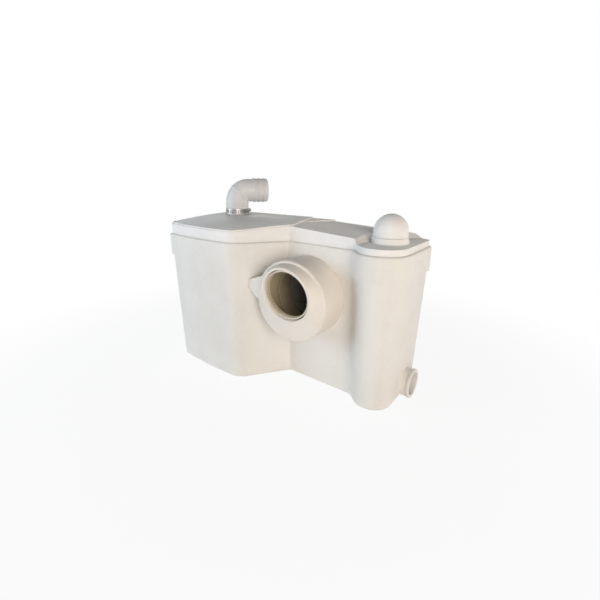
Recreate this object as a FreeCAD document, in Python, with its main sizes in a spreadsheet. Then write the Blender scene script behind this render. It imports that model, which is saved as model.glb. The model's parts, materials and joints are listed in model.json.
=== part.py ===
import FreeCAD, Part
import math
import os
import Sketcher

# Sewage lifting unit for one water closet: a moulded tank with a lift-off lid, a rubber
# inlet sleeve at the front, a pump with a cutter and a basket inside, an outlet elbow on
# the lid and an air vent over the rounded front corner.
# Frame: Z is up, the front faces -Y, the room wall is the plane Y = wall_plane, and the
# origin lies on the floor under the middle of the tank.

Vector = FreeCAD.Vector
Rotation = FreeCAD.Rotation

doc = FreeCAD.newDocument("lifting_unit")
sheet = doc.addObject("Spreadsheet::Sheet", "Sizes")

# Driving dimensions in millimetres and degrees: name, value, what it is.
DIMENSIONS = [
    # Tank
    ("wall_plane", 95.0, "origin to the room wall behind the unit"),
    ("back_inset", 10.5, "room wall to the foot of the back"),
    ("base_width", 437.0, "width of the tank at the floor"),
    ("end_depth", 178.0, "room wall to the front of the left end"),
    ("bulge_step", 13.0, "left end to the front of the motor lobe"),
    ("bulge_run", 79.0, "left side to the gentle bend of the motor lobe"),
    ("lobe_run", 169.0, "left side to the front corner of the motor lobe"),
    ("valley_run", 229.0, "left side to the valley beside the inlet"),
    ("valley_depth", 108.0, "room wall to the valley"),
    ("shoulder_run", 364.0, "left side to the start of the rounded column"),
    ("shoulder_depth", 117.0, "room wall to the start of the column"),
    ("column_run", 389.0, "left side to the front of the column"),
    ("column_depth", 142.0, "room wall to the front of the column"),
    ("end_round", 9.0, "radius of the upright edges at the ends"),
    ("bulge_ease", 57.21, "length of the gentle bend on each side of its middle"),
    ("lobe_round", 34.0, "radius of the lobe's front corner"),
    ("column_left_round", 32.0, "radius of the column's left quarter"),
    ("column_right_round", 33.0, "radius of the column's right quarter"),
    ("valley_fillet", 4.0, "fillet in the valley"),
    ("shoulder_fillet", 12.0, "fillet between the front wall and the column"),
    ("foot_fillet", 6.0, "fillet round the bottom edge"),
    ("draft", 1.75, "moulding draft of the walls, degrees"),
    ("rim_height", 256.0, "floor to the top of the collar"),
    ("tank_skin", 3.5, "thickness of the tank wall"),
    ("collar_height", 39.5, "height of the band below the rim"),
    ("collar_step", 2.5, "how far the band stands out of the wall"),
    ("collar_round", 3.0, "radius of the band's top edge"),
    ("collar_land", 4.2, "width of the band's top beside the lid"),
    ("ledge_width", 5.6, "width of the ledge that carries the seal"),
    ("ledge_drop", 5.0, "rim to the ledge"),
    ("ledge_thick", 7.0, "height of the ledge"),
    # Lid
    ("lid_gap", 0.7, "shadow gap between lid and collar"),
    ("lid_skin", 3.0, "thickness of the lid"),
    ("seal_thick", 2.0, "thickness of the lid seal"),
    ("seat_gap", 0.3, "clearance where loose pieces rest on each other"),
    ("snug", 0.05, "radial clearance of pieces pressed into each other"),
    ("terrace_rise", 9.8, "rim to the terrace round the vent"),
    ("terrace_gap", 1.2, "vent's foot to the ramp beside it"),
    ("terrace_back", 32.0, "vent's axis to the terrace's back corner"),
    ("terrace_turn", 36.0, "turn of the terrace's back edge, degrees"),
    ("terrace_round", 26.0, "radius of the terrace's back corner"),
    ("terrace_foot", 3.0, "radius at the foot of the ramp"),
    ("ramp_slope", 45.0, "slope of the ramp round the terrace, degrees"),
    ("crown_rise", 29.0, "rim to the top of the crown at the wall"),
    ("crown_radius", 1700.0, "radius of the crown over the motor, from front to back"),
    ("slope_rise", 28.0, "rim to the top of the sloping side, above the valley"),
    ("slope_fall", 3.2, "fall of the sloping side towards the right, degrees"),
    ("slope_radius", 1800.0, "radius of the sloping side's crown"),
    ("slope_inset", 15.0, "room wall to the top of the sloping side's crown"),
    ("crease_front_run", 220.5, "left side to the crease's front end"),
    ("crease_front_depth", 71.0, "room wall to the crease's front end"),
    ("crease_back_run", 255.5, "left side to the crease's back end"),
    ("panel_step", 1.6, "height of the raised panel over the motor"),
    ("panel_inset", 3.2, "lid's side to the raised panel"),
    ("panel_front_run", 234.0, "left side to the raised panel's front right corner"),
    ("panel_back_run", 205.0, "left side to the raised panel's back right corner"),
    # Inlet
    ("inlet_run", 279.4, "left side to the inlet's middle"),
    ("inlet_height", 170.0, "floor to the middle of the neck"),
    ("neck_bore", 50.0, "radius of the neck's bore"),
    ("neck_skin", 6.0, "thickness of the neck"),
    ("neck_depth", 140.0, "room wall to the neck's front end"),
    ("sleeve_fit", 0.08, "radial clearance of the sleeve on the neck"),
    ("sleeve_radius", 67.9, "outer radius of the sleeve"),
    ("sleeve_back_depth", 118.0, "room wall to the sleeve's back end"),
    ("sleeve_front_depth", 179.0, "room wall to the shoulder of the sleeve"),
    ("sleeve_pocket_inner", 59.5, "inner radius of the pocket between the sleeve's walls"),
    ("sleeve_pocket_outer", 64.0, "outer radius of the pocket between the sleeve's walls"),
    ("sleeve_web", 6.0, "thickness of rubber in front of the pocket"),
    ("mouth_radius", 43.7, "radius of the mouth"),
    ("mouth_lip", 3.6, "thickness of the lip round the mouth"),
    ("mouth_depth", 190.5, "room wall to the mouth's middle"),
    ("mouth_lift", 13.0, "how far the mouth's middle is above the neck's"),
    ("mouth_tilt", 8.0, "how far the mouth leans down, degrees"),
    ("mouth_land", 12.0, "length of the straight bore behind the mouth"),
    ("sleeve_gap", 0.6, "clearance between the sleeve and the tank's wall"),
    ("sleeve_shoulder", 4.0, "radius of the sleeve's front shoulder"),
    ("ear_reach", 95.0, "neck's middle to the tip of the pull ear"),
    ("ear_width", 46.0, "width of the pull ear at the sleeve"),
    ("ear_tip", 12.0, "width of the pull ear at its tip"),
    ("ear_thick", 7.0, "thickness of the pull ear"),
    ("ear_round", 4.0, "radius of the pull ear's tip"),
    ("ear_angle", 170.0, "angle of the pull ear round the neck, degrees"),
    # Side inlet
    ("side_depth", 59.0, "room wall to the side inlet's middle"),
    ("side_height", 26.5, "floor to the side inlet's middle"),
    ("side_radius", 24.0, "outer radius of the side inlet"),
    ("side_bore", 20.0, "radius of the side inlet's bore"),
    ("side_bead", 1.6, "height of the bead at the end"),
    ("side_bead_length", 4.0, "length of the bead at the end"),
    ("side_reach", 18.0, "tank's foot to the end of the side inlet"),
    ("flap_seat_reach", 5.0, "tank wall to the flap's seat inside"),
    ("side_flap_thick", 2.5, "thickness of the side flap"),
    ("side_flap_radius", 22.0, "radius of the side flap"),
    ("side_lug", 4.0, "thickness of the lugs that hold the side flap"),
    ("side_lug_gap", 12.0, "middle of the side flap to its lugs"),
    ("side_pin_rise", 28.5, "middle of the side inlet to the flap pin"),
    ("flap_pin_radius", 1.5, "radius of the flap pins"),
    ("pin_fit", 0.08, "radial clearance of turning pins"),
    # Pump
    ("pump_run", 140.5, "left side to the pump's axis"),
    ("pump_depth", 80.0, "room wall to the pump's axis"),
    ("pad_height", 2.5, "height of the rubber pads under the pump"),
    ("pad_radius", 8.0, "radius of the rubber pads"),
    ("boss_height", 2.0, "height of the bosses on the tank's floor"),
    ("pad_circle", 34.0, "radius of the circle of pads"),
    ("pad_count", 3, "number of rubber pads"),
    ("volute_radius", 50.0, "outer radius of the pump housing"),
    ("volute_skin", 3.0, "thickness of the pump housing"),
    ("volute_height", 31.0, "height of the pump housing"),
    ("outlet_radius", 15.0, "outer radius of the discharge pipe"),
    ("outlet_offset", 28.0, "pump axis to the outlet pipe"),
    ("outlet_reach", 56.0, "pump axis to the end of the outlet"),
    ("pipe_skin", 2.8, "wall of the discharge pipe"),
    ("coupling_length", 14.0, "length of the pipe couplings"),
    ("coupling_skin", 3.2, "wall of the pipe couplings"),
    ("cover_thick", 3.5, "thickness of the suction cover"),
    ("eye_radius", 15.0, "radius of the suction eye"),
    ("impeller_radius", 33.0, "radius of the impeller"),
    ("impeller_height", 20.0, "height of the impeller's vanes"),
    ("impeller_plate", 3.0, "thickness of the impeller's plate"),
    ("impeller_gap", 3.0, "impeller to the housing's floor"),
    ("vane_thick", 2.6, "thickness of the impeller's vanes"),
    ("vane_count", 6, "number of impeller vanes"),
    ("vane_bend", 16.0, "bend radius of the vanes"),
    ("vane_turn", 50.0, "how far the vanes sweep back, as an angle"),
    ("hub_radius", 9.5, "radius of the hubs on the shaft"),
    ("nut_radius", 8.0, "corner radius of the cutter nut"),
    ("nut_height", 6.0, "height of the cutter nut"),
    ("shaft_radius", 5.0, "radius of the motor shaft"),
    ("shaft_fit", 0.05, "radial clearance of the shaft in its bearings"),
    ("cutter_radius", 27.0, "reach of the cutter's blades"),
    ("cutter_width", 12.0, "width of the cutter's blades"),
    ("cutter_thick", 2.5, "thickness of the cutter's blades"),
    ("cutter_rise", 12.0, "height of the cutter's turned-up tips"),
    ("cutter_gap", 4.0, "cutter to the basket's floor"),
    # Basket
    ("basket_radius", 38.0, "radius of the basket's ends"),
    ("basket_length", 124.0, "distance between the basket's end centres"),
    ("basket_height", 72.0, "height of the basket"),
    ("basket_skin", 2.2, "thickness of the basket"),
    ("basket_sill", 6.6, "basket's foot to the lower end of its slots"),
    ("basket_turn", 12.0, "turn of the basket towards the inlet, degrees"),
    ("basket_rim", 3.0, "width of the basket's rim"),
    ("basket_rim_height", 3.0, "height of the basket rim"),
    ("basket_eye", 17.0, "radius of the hole in the basket floor"),
    ("slot_width", 5.0, "width of the basket's slots"),
    ("slot_height", 44.0, "height of the basket's slots"),
    ("slot_pitch", 10.0, "distance between the basket's slots"),
    ("slot_count", 12, "number of slots along the basket"),
    # Motor
    ("motor_height", 134.0, "floor to the motor's lower flange"),
    ("motor_length", 98.0, "length of the motor housing"),
    ("motor_radius", 44.0, "outer radius of the motor housing"),
    ("motor_skin", 3.0, "thickness of the motor housing"),
    ("motor_flange", 6.0, "how far the motor flanges stand out"),
    ("motor_flange_thick", 6.0, "thickness of the motor flanges"),
    ("motor_cover_height", 9.0, "height of the motor cover"),
    ("pillar_radius", 3.6, "radius of the pillars between motor and pump"),
    ("pillar_circle", 46.0, "radius of the circle of pillars"),
    ("pillar_count", 3, "number of pillars"),
    ("bearing_radius", 13.0, "outer radius of the bearings"),
    ("bearing_height", 9.0, "height of the bearings"),
    ("bearing_wall", 3.0, "wall of the bearing seats"),
    ("seal_radius", 10.0, "outer radius of the shaft seal"),
    ("seal_length", 7.0, "length of the shaft seal"),
    ("stator_height", 48.0, "height of the stator"),
    ("stator_bore", 25.5, "radius of the stator's bore"),
    ("stator_foot", 28.0, "motor flange to the stator"),
    ("rotor_gap", 0.5, "air gap between rotor and stator"),
    ("coil_height", 9.0, "height of the coil heads"),
    ("coil_radius", 36.0, "outer radius of the coil heads"),
    ("screw_radius", 1.5, "radius of the small screws"),
    ("screw_head_radius", 2.8, "radius of the small screw heads"),
    ("screw_head_height", 2.0, "height of the small screw heads"),
    ("screw_circle", 47.0, "radius of the circle of cover screws"),
    ("screw_count", 4, "number of cover screws"),
    ("capacitor_radius", 15.0, "radius of the capacitor"),
    ("capacitor_length", 55.0, "length of the capacitor"),
    ("capacitor_foot", 36.0, "motor flange to the capacitor"),
    ("capacitor_angle", 40.0, "angle of the capacitor round the motor, degrees"),
    ("cup_skin", 2.0, "wall of the capacitor cup"),
    ("cup_height", 20.0, "height of the capacitor cup"),
    # Discharge
    ("riser_run", 48.0, "left side to the riser's axis"),
    ("riser_depth", 52.0, "room wall to the riser's axis"),
    ("riser_bend", 30.0, "bend radius of the riser"),
    ("valve_height", 196.0, "floor to the foot of the non-return valve"),
    ("valve_length", 62.0, "length of the non-return valve"),
    ("valve_radius", 25.0, "outer radius of the non-return valve"),
    ("valve_bore", 21.5, "radius of the valve's chamber"),
    ("valve_seat", 10.0, "foot of the valve to the flap's seat"),
    ("flap_offset", 17.0, "valve axis to the flap pin"),
    ("flap_pin_length", 30.0, "length of the flap pin"),
    ("flap_radius", 15.5, "radius of the valve's flap"),
    ("flap_thick", 2.4, "thickness of the valve's flap"),
    ("stub_radius", 18.6, "outer radius of the stub under the elbow"),
    ("stub_skin", 2.6, "wall of the stub"),
    ("stub_flange", 23.5, "radius of the stub's flange under the lid"),
    ("flange_depth", 6.0, "underside of the lid at the wall to the lower face of the flange"),
    ("socket_gap", 1.1, "radial clearance of the stub in the valve"),
    ("socket_length", 15.0, "length of the socket for the stub"),
    ("stub_foot", 246.0, "floor to the lower end of the stub"),
    ("stub_head", 308.0, "floor to the upper end of the stub"),
    ("ring_thick", 1.8, "thickness of the stub's sealing ring"),
    ("ring_height", 2.4, "height of the stub's sealing ring"),
    ("elbow_foot", 286.8, "floor to the lower end of the elbow"),
    ("elbow_skin", 3.9, "wall of the elbow"),
    ("elbow_fit", 0.08, "radial clearance of the elbow on the stub"),
    ("elbow_height", 334.0, "floor to the middle of the elbow's arm"),
    ("elbow_bend", 24.0, "bend radius of the elbow"),
    ("elbow_reach", 63.0, "riser's axis to the end of the arm"),
    ("elbow_turn", 52.0, "turn of the arm towards the wall, degrees"),
    ("elbow_bore", 16.0, "radius of the arm's bore"),
    ("barb_length", 9.5, "length of each barb"),
    ("barb_count", 3, "number of barbs"),
    ("barb_depth", 1.8, "height of the barbs"),
    ("clamp_foot", 288.0, "floor to the lower edge of the hose clamp"),
    ("clamp_width", 10.0, "width of the hose clamp"),
    ("clamp_thick", 0.9, "thickness of the clamp's band"),
    ("worm_radius", 3.4, "radius of the clamp's worm screw"),
    ("worm_length", 20.0, "length of the clamp's worm screw"),
    ("worm_head_radius", 4.6, "radius of the worm screw's head"),
    ("worm_head_length", 5.0, "length of the worm screw's head"),
    ("worm_housing", 13.0, "length of the worm screw's housing"),
    # Vent
    ("vent_run", 400.2, "left side to the vent's axis"),
    ("vent_depth", 79.0, "room wall to the vent's axis"),
    ("vent_radius", 29.4, "radius of the vent's foot"),
    ("vent_hole", 17.0, "radius of the hole in the lid under the vent"),
    ("vent_foot_height", 9.0, "height of the vent's foot"),
    ("vent_flare", 1.9, "how far the vent foot flares"),
    ("vent_floor", 3.0, "thickness of the vent foot floor"),
    ("vent_spigot", 6.0, "length of the vent spigot through the lid"),
    ("vent_register", 4.0, "height of the ring that centres the cap"),
    ("vent_cap_radius", 26.8, "radius of the vent's cap"),
    ("vent_cap_height", 35.0, "height of the vent's cap"),
    ("vent_skin", 2.2, "thickness of the vent's cap"),
    ("vent_throat", 11.0, "radius of the vent's air way"),
    ("vent_stem", 2.75, "radius of the vent disc's stem"),
    ("vent_disc_radius", 14.0, "radius of the vent's disc"),
    ("vent_disc_thick", 1.6, "thickness of the vent's disc"),
    ("vent_chimney", 8.0, "height of the vent's inner tube over its foot"),
    # Level switch
    ("bell_run", 352.0, "left side to the level bell's axis"),
    ("bell_depth", 47.0, "room wall to the level bell's axis"),
    ("bell_radius", 17.0, "outer radius of the level bell's tube"),
    ("bell_skin", 2.4, "wall of the level bell"),
    ("bell_foot", 24.0, "floor to the open end of the level bell"),
    ("bell_head", 176.0, "floor to the level bell's flange"),
    ("bell_flange", 31.0, "radius of the level bell's flange"),
    ("bell_cup", 8.0, "height of the level bell's cup"),
    ("bracket_width", 40.0, "width of the bracket under the level bell"),
    ("bracket_height", 8.0, "height of the bracket under the level bell"),
    ("membrane_thick", 1.2, "thickness of the switch membrane"),
    ("switch_height", 18.0, "height of the switch housing"),
    ("switch_skin", 2.4, "wall of the switch housing"),
    ("plate_radius", 15.0, "radius of the plunger's plate"),
    ("plate_thick", 2.0, "thickness of the plunger plate"),
    ("plunger_radius", 3.0, "radius of the plunger"),
    ("carrier_length", 12.0, "length of the micro switch carrier"),
    ("carrier_height", 15.0, "height of the micro switch carrier"),
    ("cheek_thick", 2.5, "thickness of the cheeks that hold the lever"),
    ("lever_width", 9.0, "width of the lever"),
    ("lever_thick", 0.8, "thickness of the lever"),
    ("lever_pin", 1.0, "radius of the lever pin"),
    ("lever_hub", 2.2, "radius of the lever hub"),
    ("lever_rise", 5.5, "switch housing to the lever pin"),
    ("lever_length", 18.0, "micro switch hinge to the plunger"),
    # Cable inlet
    ("gland_depth", 40.0, "room wall to the cable gland"),
    ("gland_height", 190.0, "floor to the cable gland"),
    ("gland_radius", 9.0, "radius of the gland's thread"),
    ("gland_bore", 4.2, "radius of the gland's bore"),
    ("gland_head", 12.0, "radius of the gland's head"),
    ("gland_flange", 3.0, "thickness of the gland flange"),
    ("gland_cap", 11.0, "length of the gland cap outside"),
    ("gland_thread", 14.0, "length of the gland inside the wall"),
    ("gland_nut_thick", 5.0, "thickness of the gland nut"),
    # Pry hollows in the collar
    ("pry_radius", 12.0, "radius of the round tool that sinks the pry hollows"),
    ("pry_depth", 1.4, "depth of the pry hollows"),
    ("pry_run", 66.5, "left side to the front pry hollow"),
    ("pry_wall", 53.0, "room wall to the right pry hollow"),
    ("pry_height", 234.5, "floor to the pry hollows"),
]


class Size:
    """A length or an angle that keeps the formula it came from, so it can drive a feature."""

    def __init__(self, value, text):
        self.value = float(value)
        self.text = text

    def __add__(self, other):
        other = size(other)
        return Size(self.value + other.value, f"({self.text} + {other.text})")

    def __radd__(self, other):
        return size(other) + self

    def __sub__(self, other):
        other = size(other)
        return Size(self.value - other.value, f"({self.text} - {other.text})")

    def __rsub__(self, other):
        return size(other) - self

    def __mul__(self, other):
        other = size(other)
        return Size(self.value * other.value, f"({self.text} * {other.text})")

    def __rmul__(self, other):
        return size(other) * self

    def __truediv__(self, other):
        other = size(other)
        return Size(self.value / other.value, f"({self.text} / {other.text})")

    def __rtruediv__(self, other):
        return size(other) / self

    def __neg__(self):
        return size(0) - self


def size(number):
    """A plain number as a Size."""
    if isinstance(number, Size):
        return number
    return Size(number, f"({float(number):.9g})")


def tangent(angle):
    return Size(math.tan(math.radians(angle.value)), f"tan({angle.text})")


def sine(angle):
    return Size(math.sin(math.radians(angle.value)), f"sin({angle.text})")


def cosine(angle):
    return Size(math.cos(math.radians(angle.value)), f"cos({angle.text})")


def slant(rise, length):
    """The angle of a side that rises over a length."""
    slope = rise / length
    return Size(math.degrees(math.atan(slope.value)), f"atan({slope.text})")


class Dimensions:
    """The cells of the sheet by name."""

    def __init__(self, rows):
        for line, (name, value, meaning) in enumerate(rows, start=1):
            sheet.set(f"A{line}", name)
            sheet.set(f"B{line}", str(value))
            sheet.set(f"C{line}", meaning)
            sheet.setAlias(f"B{line}", name)
            setattr(self, name, Size(value, f"Sizes.{name}"))


d = Dimensions(DIMENSIONS)
doc.recompute()

pieces = []


def piece(obj, name):
    """Names a finished sub-part."""
    obj.Label = name
    pieces.append(obj)
    return obj


# Sketches


def pin_point(sketch, geometry, point, x, y):
    """Fixes one point of a sketch to two sizes."""
    for kind, axis, amount in (("DistanceX", -2, x), ("DistanceY", -1, y)):
        if amount.value == 0:
            sketch.addConstraint(Sketcher.Constraint("PointOnObject", geometry, point, axis))
            continue
        index = sketch.addConstraint(Sketcher.Constraint(kind, geometry, point, amount.value))
        sketch.setExpression(f"Constraints[{index}]", amount.text)


def corner_arc(before, corner, after, radius):
    """Ends, middle and direction of the arc that rounds a corner."""
    back = (before - corner).normalize()
    ahead = (after - corner).normalize()
    half = back.getAngle(ahead) / 2
    run = radius / math.tan(half)
    middle = corner + (back + ahead).normalize() * (radius / math.sin(half))
    return corner + back * run, corner + ahead * run, middle, back.cross(ahead).z < 0


def draw_outline(sketch, corners):
    """Draws a closed outline: a corner is (x, y), or (x, y, radius) where it is rounded."""
    corners = [tuple(size(part) for part in corner) for corner in corners]
    points = [Vector(corner[0].value, corner[1].value, 0) for corner in corners]
    count = len(corners)
    arcs = {}
    for i, corner in enumerate(corners):
        if len(corner) == 3:
            around = points[i - 1], points[i], points[(i + 1) % count]
            arcs[i] = corner_arc(*around, corner[2].value)
    lines = []
    for i in range(count):
        after = (i + 1) % count
        start = arcs[i][1] if i in arcs else points[i]
        end = arcs[after][0] if after in arcs else points[after]
        lines.append(sketch.addGeometry(Part.LineSegment(start, end), False))
    for i, corner in enumerate(corners):
        if i not in arcs:
            joint = Sketcher.Constraint("Coincident", lines[i - 1], 2, lines[i], 1)
            sketch.addConstraint(joint)
            pin_point(sketch, lines[i], 1, corner[0], corner[1])
            continue
        start, end, middle, leftward = arcs[i]
        first, last = (start, end) if leftward else (end, start)
        low = math.atan2(first.y - middle.y, first.x - middle.x)
        high = math.atan2(last.y - middle.y, last.x - middle.x)
        if high < low:
            high += 2 * math.pi
        circle = Part.Circle(middle, Vector(0, 0, 1), corner[2].value)
        arc = sketch.addGeometry(Part.ArcOfCircle(circle, low, high), False)
        mark = sketch.addGeometry(Part.Point(points[i]), True)
        near, far = (1, 2) if leftward else (2, 1)
        sketch.addConstraint(Sketcher.Constraint("Tangent", lines[i - 1], 2, arc, near))
        sketch.addConstraint(Sketcher.Constraint("Tangent", arc, far, lines[i], 1))
        sketch.addConstraint(Sketcher.Constraint("PointOnObject", mark, 1, lines[i - 1]))
        sketch.addConstraint(Sketcher.Constraint("PointOnObject", mark, 1, lines[i]))
        pin_point(sketch, mark, 1, corner[0], corner[1])
        index = sketch.addConstraint(Sketcher.Constraint("Radius", arc, corner[2].value))
        sketch.setExpression(f"Constraints[{index}]", corner[2].text)
    return sketch


def draw_circle(sketch, x, y, radius):
    x, y, radius = size(x), size(y), size(radius)
    circle = Part.Circle(Vector(x.value, y.value, 0), Vector(0, 0, 1), radius.value)
    ring = sketch.addGeometry(circle, False)
    pin_point(sketch, ring, 3, x, y)
    index = sketch.addConstraint(Sketcher.Constraint("Radius", ring, radius.value))
    sketch.setExpression(f"Constraints[{index}]", radius.text)
    return sketch


def draw_slot(sketch, length, radius):
    """Draws a long hole round the origin and a second centre on the X axis."""
    up, down = Vector(0, 0, 1), -math.pi / 2
    far = Part.Circle(Vector(length.value, 0, 0), up, radius.value)
    near = Part.Circle(Vector(0, 0, 0), up, radius.value)
    right = sketch.addGeometry(Part.ArcOfCircle(far, down, -down), False)
    left = sketch.addGeometry(Part.ArcOfCircle(near, -down, -3 * down), False)
    top = sketch.addGeometry(Part.LineSegment(
        Vector(length.value, radius.value, 0), Vector(0, radius.value, 0)), False)
    low = sketch.addGeometry(Part.LineSegment(
        Vector(0, -radius.value, 0), Vector(length.value, -radius.value, 0)), False)
    for first, end, second, start in (
            (right, 2, top, 1), (top, 2, left, 1), (left, 2, low, 1), (low, 2, right, 1)):
        sketch.addConstraint(Sketcher.Constraint("Tangent", first, end, second, start))
    sketch.addConstraint(Sketcher.Constraint("Coincident", left, 3, -1, 1))
    pin_point(sketch, right, 3, length, size(0))
    index = sketch.addConstraint(Sketcher.Constraint("Radius", left, radius.value))
    sketch.setExpression(f"Constraints[{index}]", radius.text)
    return sketch


# Features of a body


def bind(obj, **sizes):
    """Drives properties of an object from the sheet."""
    for name, amount in sizes.items():
        obj.setExpression(name, size(amount).text)
    return obj


def place(obj, x=0, y=0, z=0, turn=None):
    """Puts an object where the sheet says."""
    x, y, z = size(x), size(y), size(z)
    obj.Placement = FreeCAD.Placement(Vector(x.value, y.value, z.value), turn or Rotation())
    for axis, amount in (("x", x), ("y", y), ("z", z)):
        obj.setExpression(f"Placement.Base.{axis}", amount.text)
    return obj


def new_body():
    return doc.addObject("PartDesign::Body", "body")


def origin_plane(body, role):
    return next(item for item in body.Origin.OriginFeatures if item.Role == role)


def sketch_in(body, role="XY_Plane", height=0):
    """An empty sketch on one of the body's own origin planes, or at a height over it."""
    sketch = body.newObject("Sketcher::SketchObject", "sketch")
    sketch.AttachmentSupport = [(origin_plane(body, role), "")]
    sketch.MapMode = "FlatFace"
    bind(sketch, **{"AttachmentOffset.Base.z": height})
    return sketch


def pad(body, sketch, length, both_ways=False):
    feature = body.newObject("PartDesign::Pad", "pad")
    feature.Profile = sketch
    feature.Midplane = both_ways
    return bind(feature, Length=length)


def pocket(body, sketch, length, upward=False, both_ways=False):
    feature = body.newObject("PartDesign::Pocket", "pocket")
    feature.Profile = sketch
    feature.Reversed = upward
    feature.Midplane = both_ways
    return bind(feature, Length=length)


def revolve(body, sketch):
    feature = body.newObject("PartDesign::Revolution", "turning")
    feature.Profile = sketch
    feature.ReferenceAxis = (sketch, ["V_Axis"])
    feature.Angle = 360
    return feature


def ring_pattern(body, features, count):
    """Repeats features round the body's upright axis."""
    pattern = body.newObject("PartDesign::PolarPattern", "ring")
    pattern.Originals = features
    pattern.Axis = (origin_plane(body, "Z_Axis"), [""])
    pattern.Angle = 360
    pattern.Occurrences = int(count.value)
    body.Tip = pattern
    return pattern


def row_pattern(body, features, length, count):
    """Repeats features along the body's X axis."""
    pattern = body.newObject("PartDesign::LinearPattern", "row")
    pattern.Originals = features
    pattern.Direction = (origin_plane(body, "X_Axis"), [""])
    pattern.Occurrences = int(count.value)
    bind(pattern, Length=length)
    body.Tip = pattern
    return pattern


def turned(corners, x=0, y=0, z=0, turn=None):
    """A body made by turning an outline of (radius, height) corners round its own axis."""
    body = new_body()
    revolve(body, draw_outline(sketch_in(body, "XZ_Plane"), corners))
    return place(body, x, y, z, turn)


def tube(inner, outer, low, high, x=0, y=0, z=0, turn=None):
    """A plain ring or bush."""
    corners = [(inner, low), (outer, low), (outer, high), (inner, high)]
    return turned(corners, x, y, z, turn)


# Primitives and booleans

ALONG = {
    "z": Rotation(),
    "x": Rotation(Vector(0, 1, 0), 90),
    "y": Rotation(Vector(1, 0, 0), -90),
    "-y": Rotation(Vector(1, 0, 0), 90),
}


def cylinder(radius, length, x=0, y=0, z=0, along="z"):
    obj = bind(doc.addObject("Part::Cylinder", "cylinder"), Radius=radius, Height=length)
    return place(obj, x, y, z, ALONG[along])


def cone(low_radius, high_radius, length, x=0, y=0, z=0, along="z"):
    obj = doc.addObject("Part::Cone", "cone")
    bind(obj, Radius1=low_radius, Radius2=high_radius, Height=length)
    return place(obj, x, y, z, ALONG[along])


def block(length, width, height, x=0, y=0, z=0):
    """A box from its lowest corner."""
    obj = bind(doc.addObject("Part::Box", "block"), Length=length, Width=width, Height=height)
    return place(obj, x, y, z)


def fuse(*shapes):
    obj = doc.addObject("Part::MultiFuse", "joined")
    obj.Shapes = list(shapes)
    return obj


def cut(base, *tools):
    obj = doc.addObject("Part::Cut", "cut")
    obj.Base = base
    obj.Tool = tools[0] if len(tools) == 1 else fuse(*tools)
    return obj


def common(*shapes):
    obj = doc.addObject("Part::MultiCommon", "common")
    obj.Shapes = list(shapes)
    return obj


def extruded(sketch, length, direction=Vector(0, 0, 1), taper=0, x=0, y=0, z=0):
    obj = doc.addObject("Part::Extrusion", "extrusion")
    obj.Base = sketch
    obj.DirMode = "Custom"
    obj.Dir = direction
    obj.Solid = True
    bind(obj, LengthFwd=length, TaperAngle=taper)
    return place(obj, x, y, z)


def rounded(base, radius, chosen):
    """Fillets the edges of a shape that a test picks out."""
    doc.recompute()
    obj = doc.addObject("Part::Fillet", "fillet")
    obj.Base = base
    edges = enumerate(base.Shape.Edges, start=1)
    obj.Edges = [(index, radius.value, radius.value) for index, edge in edges if chosen(edge)]
    return obj


def loft(first, last):
    """A solid between two closed sketches."""
    obj = doc.addObject("Part::Loft", "loft")
    obj.Sections = [first, last]
    obj.Solid = True
    obj.Ruled = True
    return obj



# Shared places


def run(distance):
    """X of a distance from the tank's left side, measured at the floor."""
    return distance - d.base_width / 2


def depth(distance):
    """Y of a distance in front of the room wall."""
    return d.wall_plane - distance


rim = d.rim_height
lobe_depth = d.end_depth + d.bulge_step
bulge_round = d.bulge_ease / tangent(slant(d.bulge_step, d.bulge_run) / 2)
lean = tangent(d.draft) * rim
collar_out = lean + d.collar_step
land_out = collar_out - d.collar_land
ledge_in = land_out - d.ledge_width
lid_out = land_out - d.lid_gap
ledge_top = rim - d.ledge_drop
lid_foot = ledge_top + d.seal_thick + d.seat_gap
wide = d.base_width * 2

inlet_x = run(d.inlet_run)
pump_x = run(d.pump_run)
pump_y = depth(d.pump_depth)
riser_x = run(d.riser_run)
riser_y = depth(d.riser_depth)
vent_x = run(d.vent_run)
vent_y = depth(d.vent_depth)
bell_x = run(d.bell_run)
bell_y = depth(d.bell_depth)
side_y = depth(d.side_depth)

ring_out = d.stub_radius + d.socket_gap - d.seat_gap
ring_in = ring_out - d.ring_thick
ring_foot = d.stub_foot + d.ring_height


def plan(grow):
    """The tank's outline at the floor, moved outwards by an amount."""
    left, right, back = run(0), run(d.base_width), depth(d.back_inset)
    base = [
        (left, back, d.end_round),
        (left, depth(d.end_depth), d.end_round),
        (run(d.bulge_run), depth(lobe_depth), bulge_round),
        (run(d.lobe_run), depth(lobe_depth), d.lobe_round),
        (run(d.valley_run), depth(d.valley_depth)),
        (run(d.shoulder_run), depth(d.shoulder_depth)),
        (run(d.column_run), depth(d.column_depth), d.column_left_round),
        (right, depth(d.column_depth), d.column_right_round),
        (right, back, d.end_round),
    ]
    points = [Vector(corner[0].value, corner[1].value, 0) for corner in base]
    grow = size(grow)
    moved = []
    for i, corner in enumerate(base):
        before, here, after = points[i - 1], points[i], points[(i + 1) % len(base)]
        come = (here - before).normalize()
        leave = (after - here).normalize()
        outward = Vector(-come.y - leave.y, come.x + leave.x, 0)
        step = outward / (1 + come.dot(leave))
        x = corner[0] - grow * step.x
        y = corner[1] - grow * step.y
        moved.append((x, y, corner[2] + grow) if len(corner) == 3 else (x, y))
    return draw_outline(doc.addObject("Sketcher::SketchObject", "plan"), moved)


TOUCH = 0.01
NEAR_SHELL = 12
NEAR_COLLAR = 25


def upright_near(x, y, reach):
    """Picks the upright edges near a place."""
    def test(edge):
        box = edge.BoundBox
        near = math.hypot(box.Center.x - x.value, box.Center.y - y.value) < reach
        return box.ZLength > box.XLength + box.YLength and near
    return test


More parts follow.
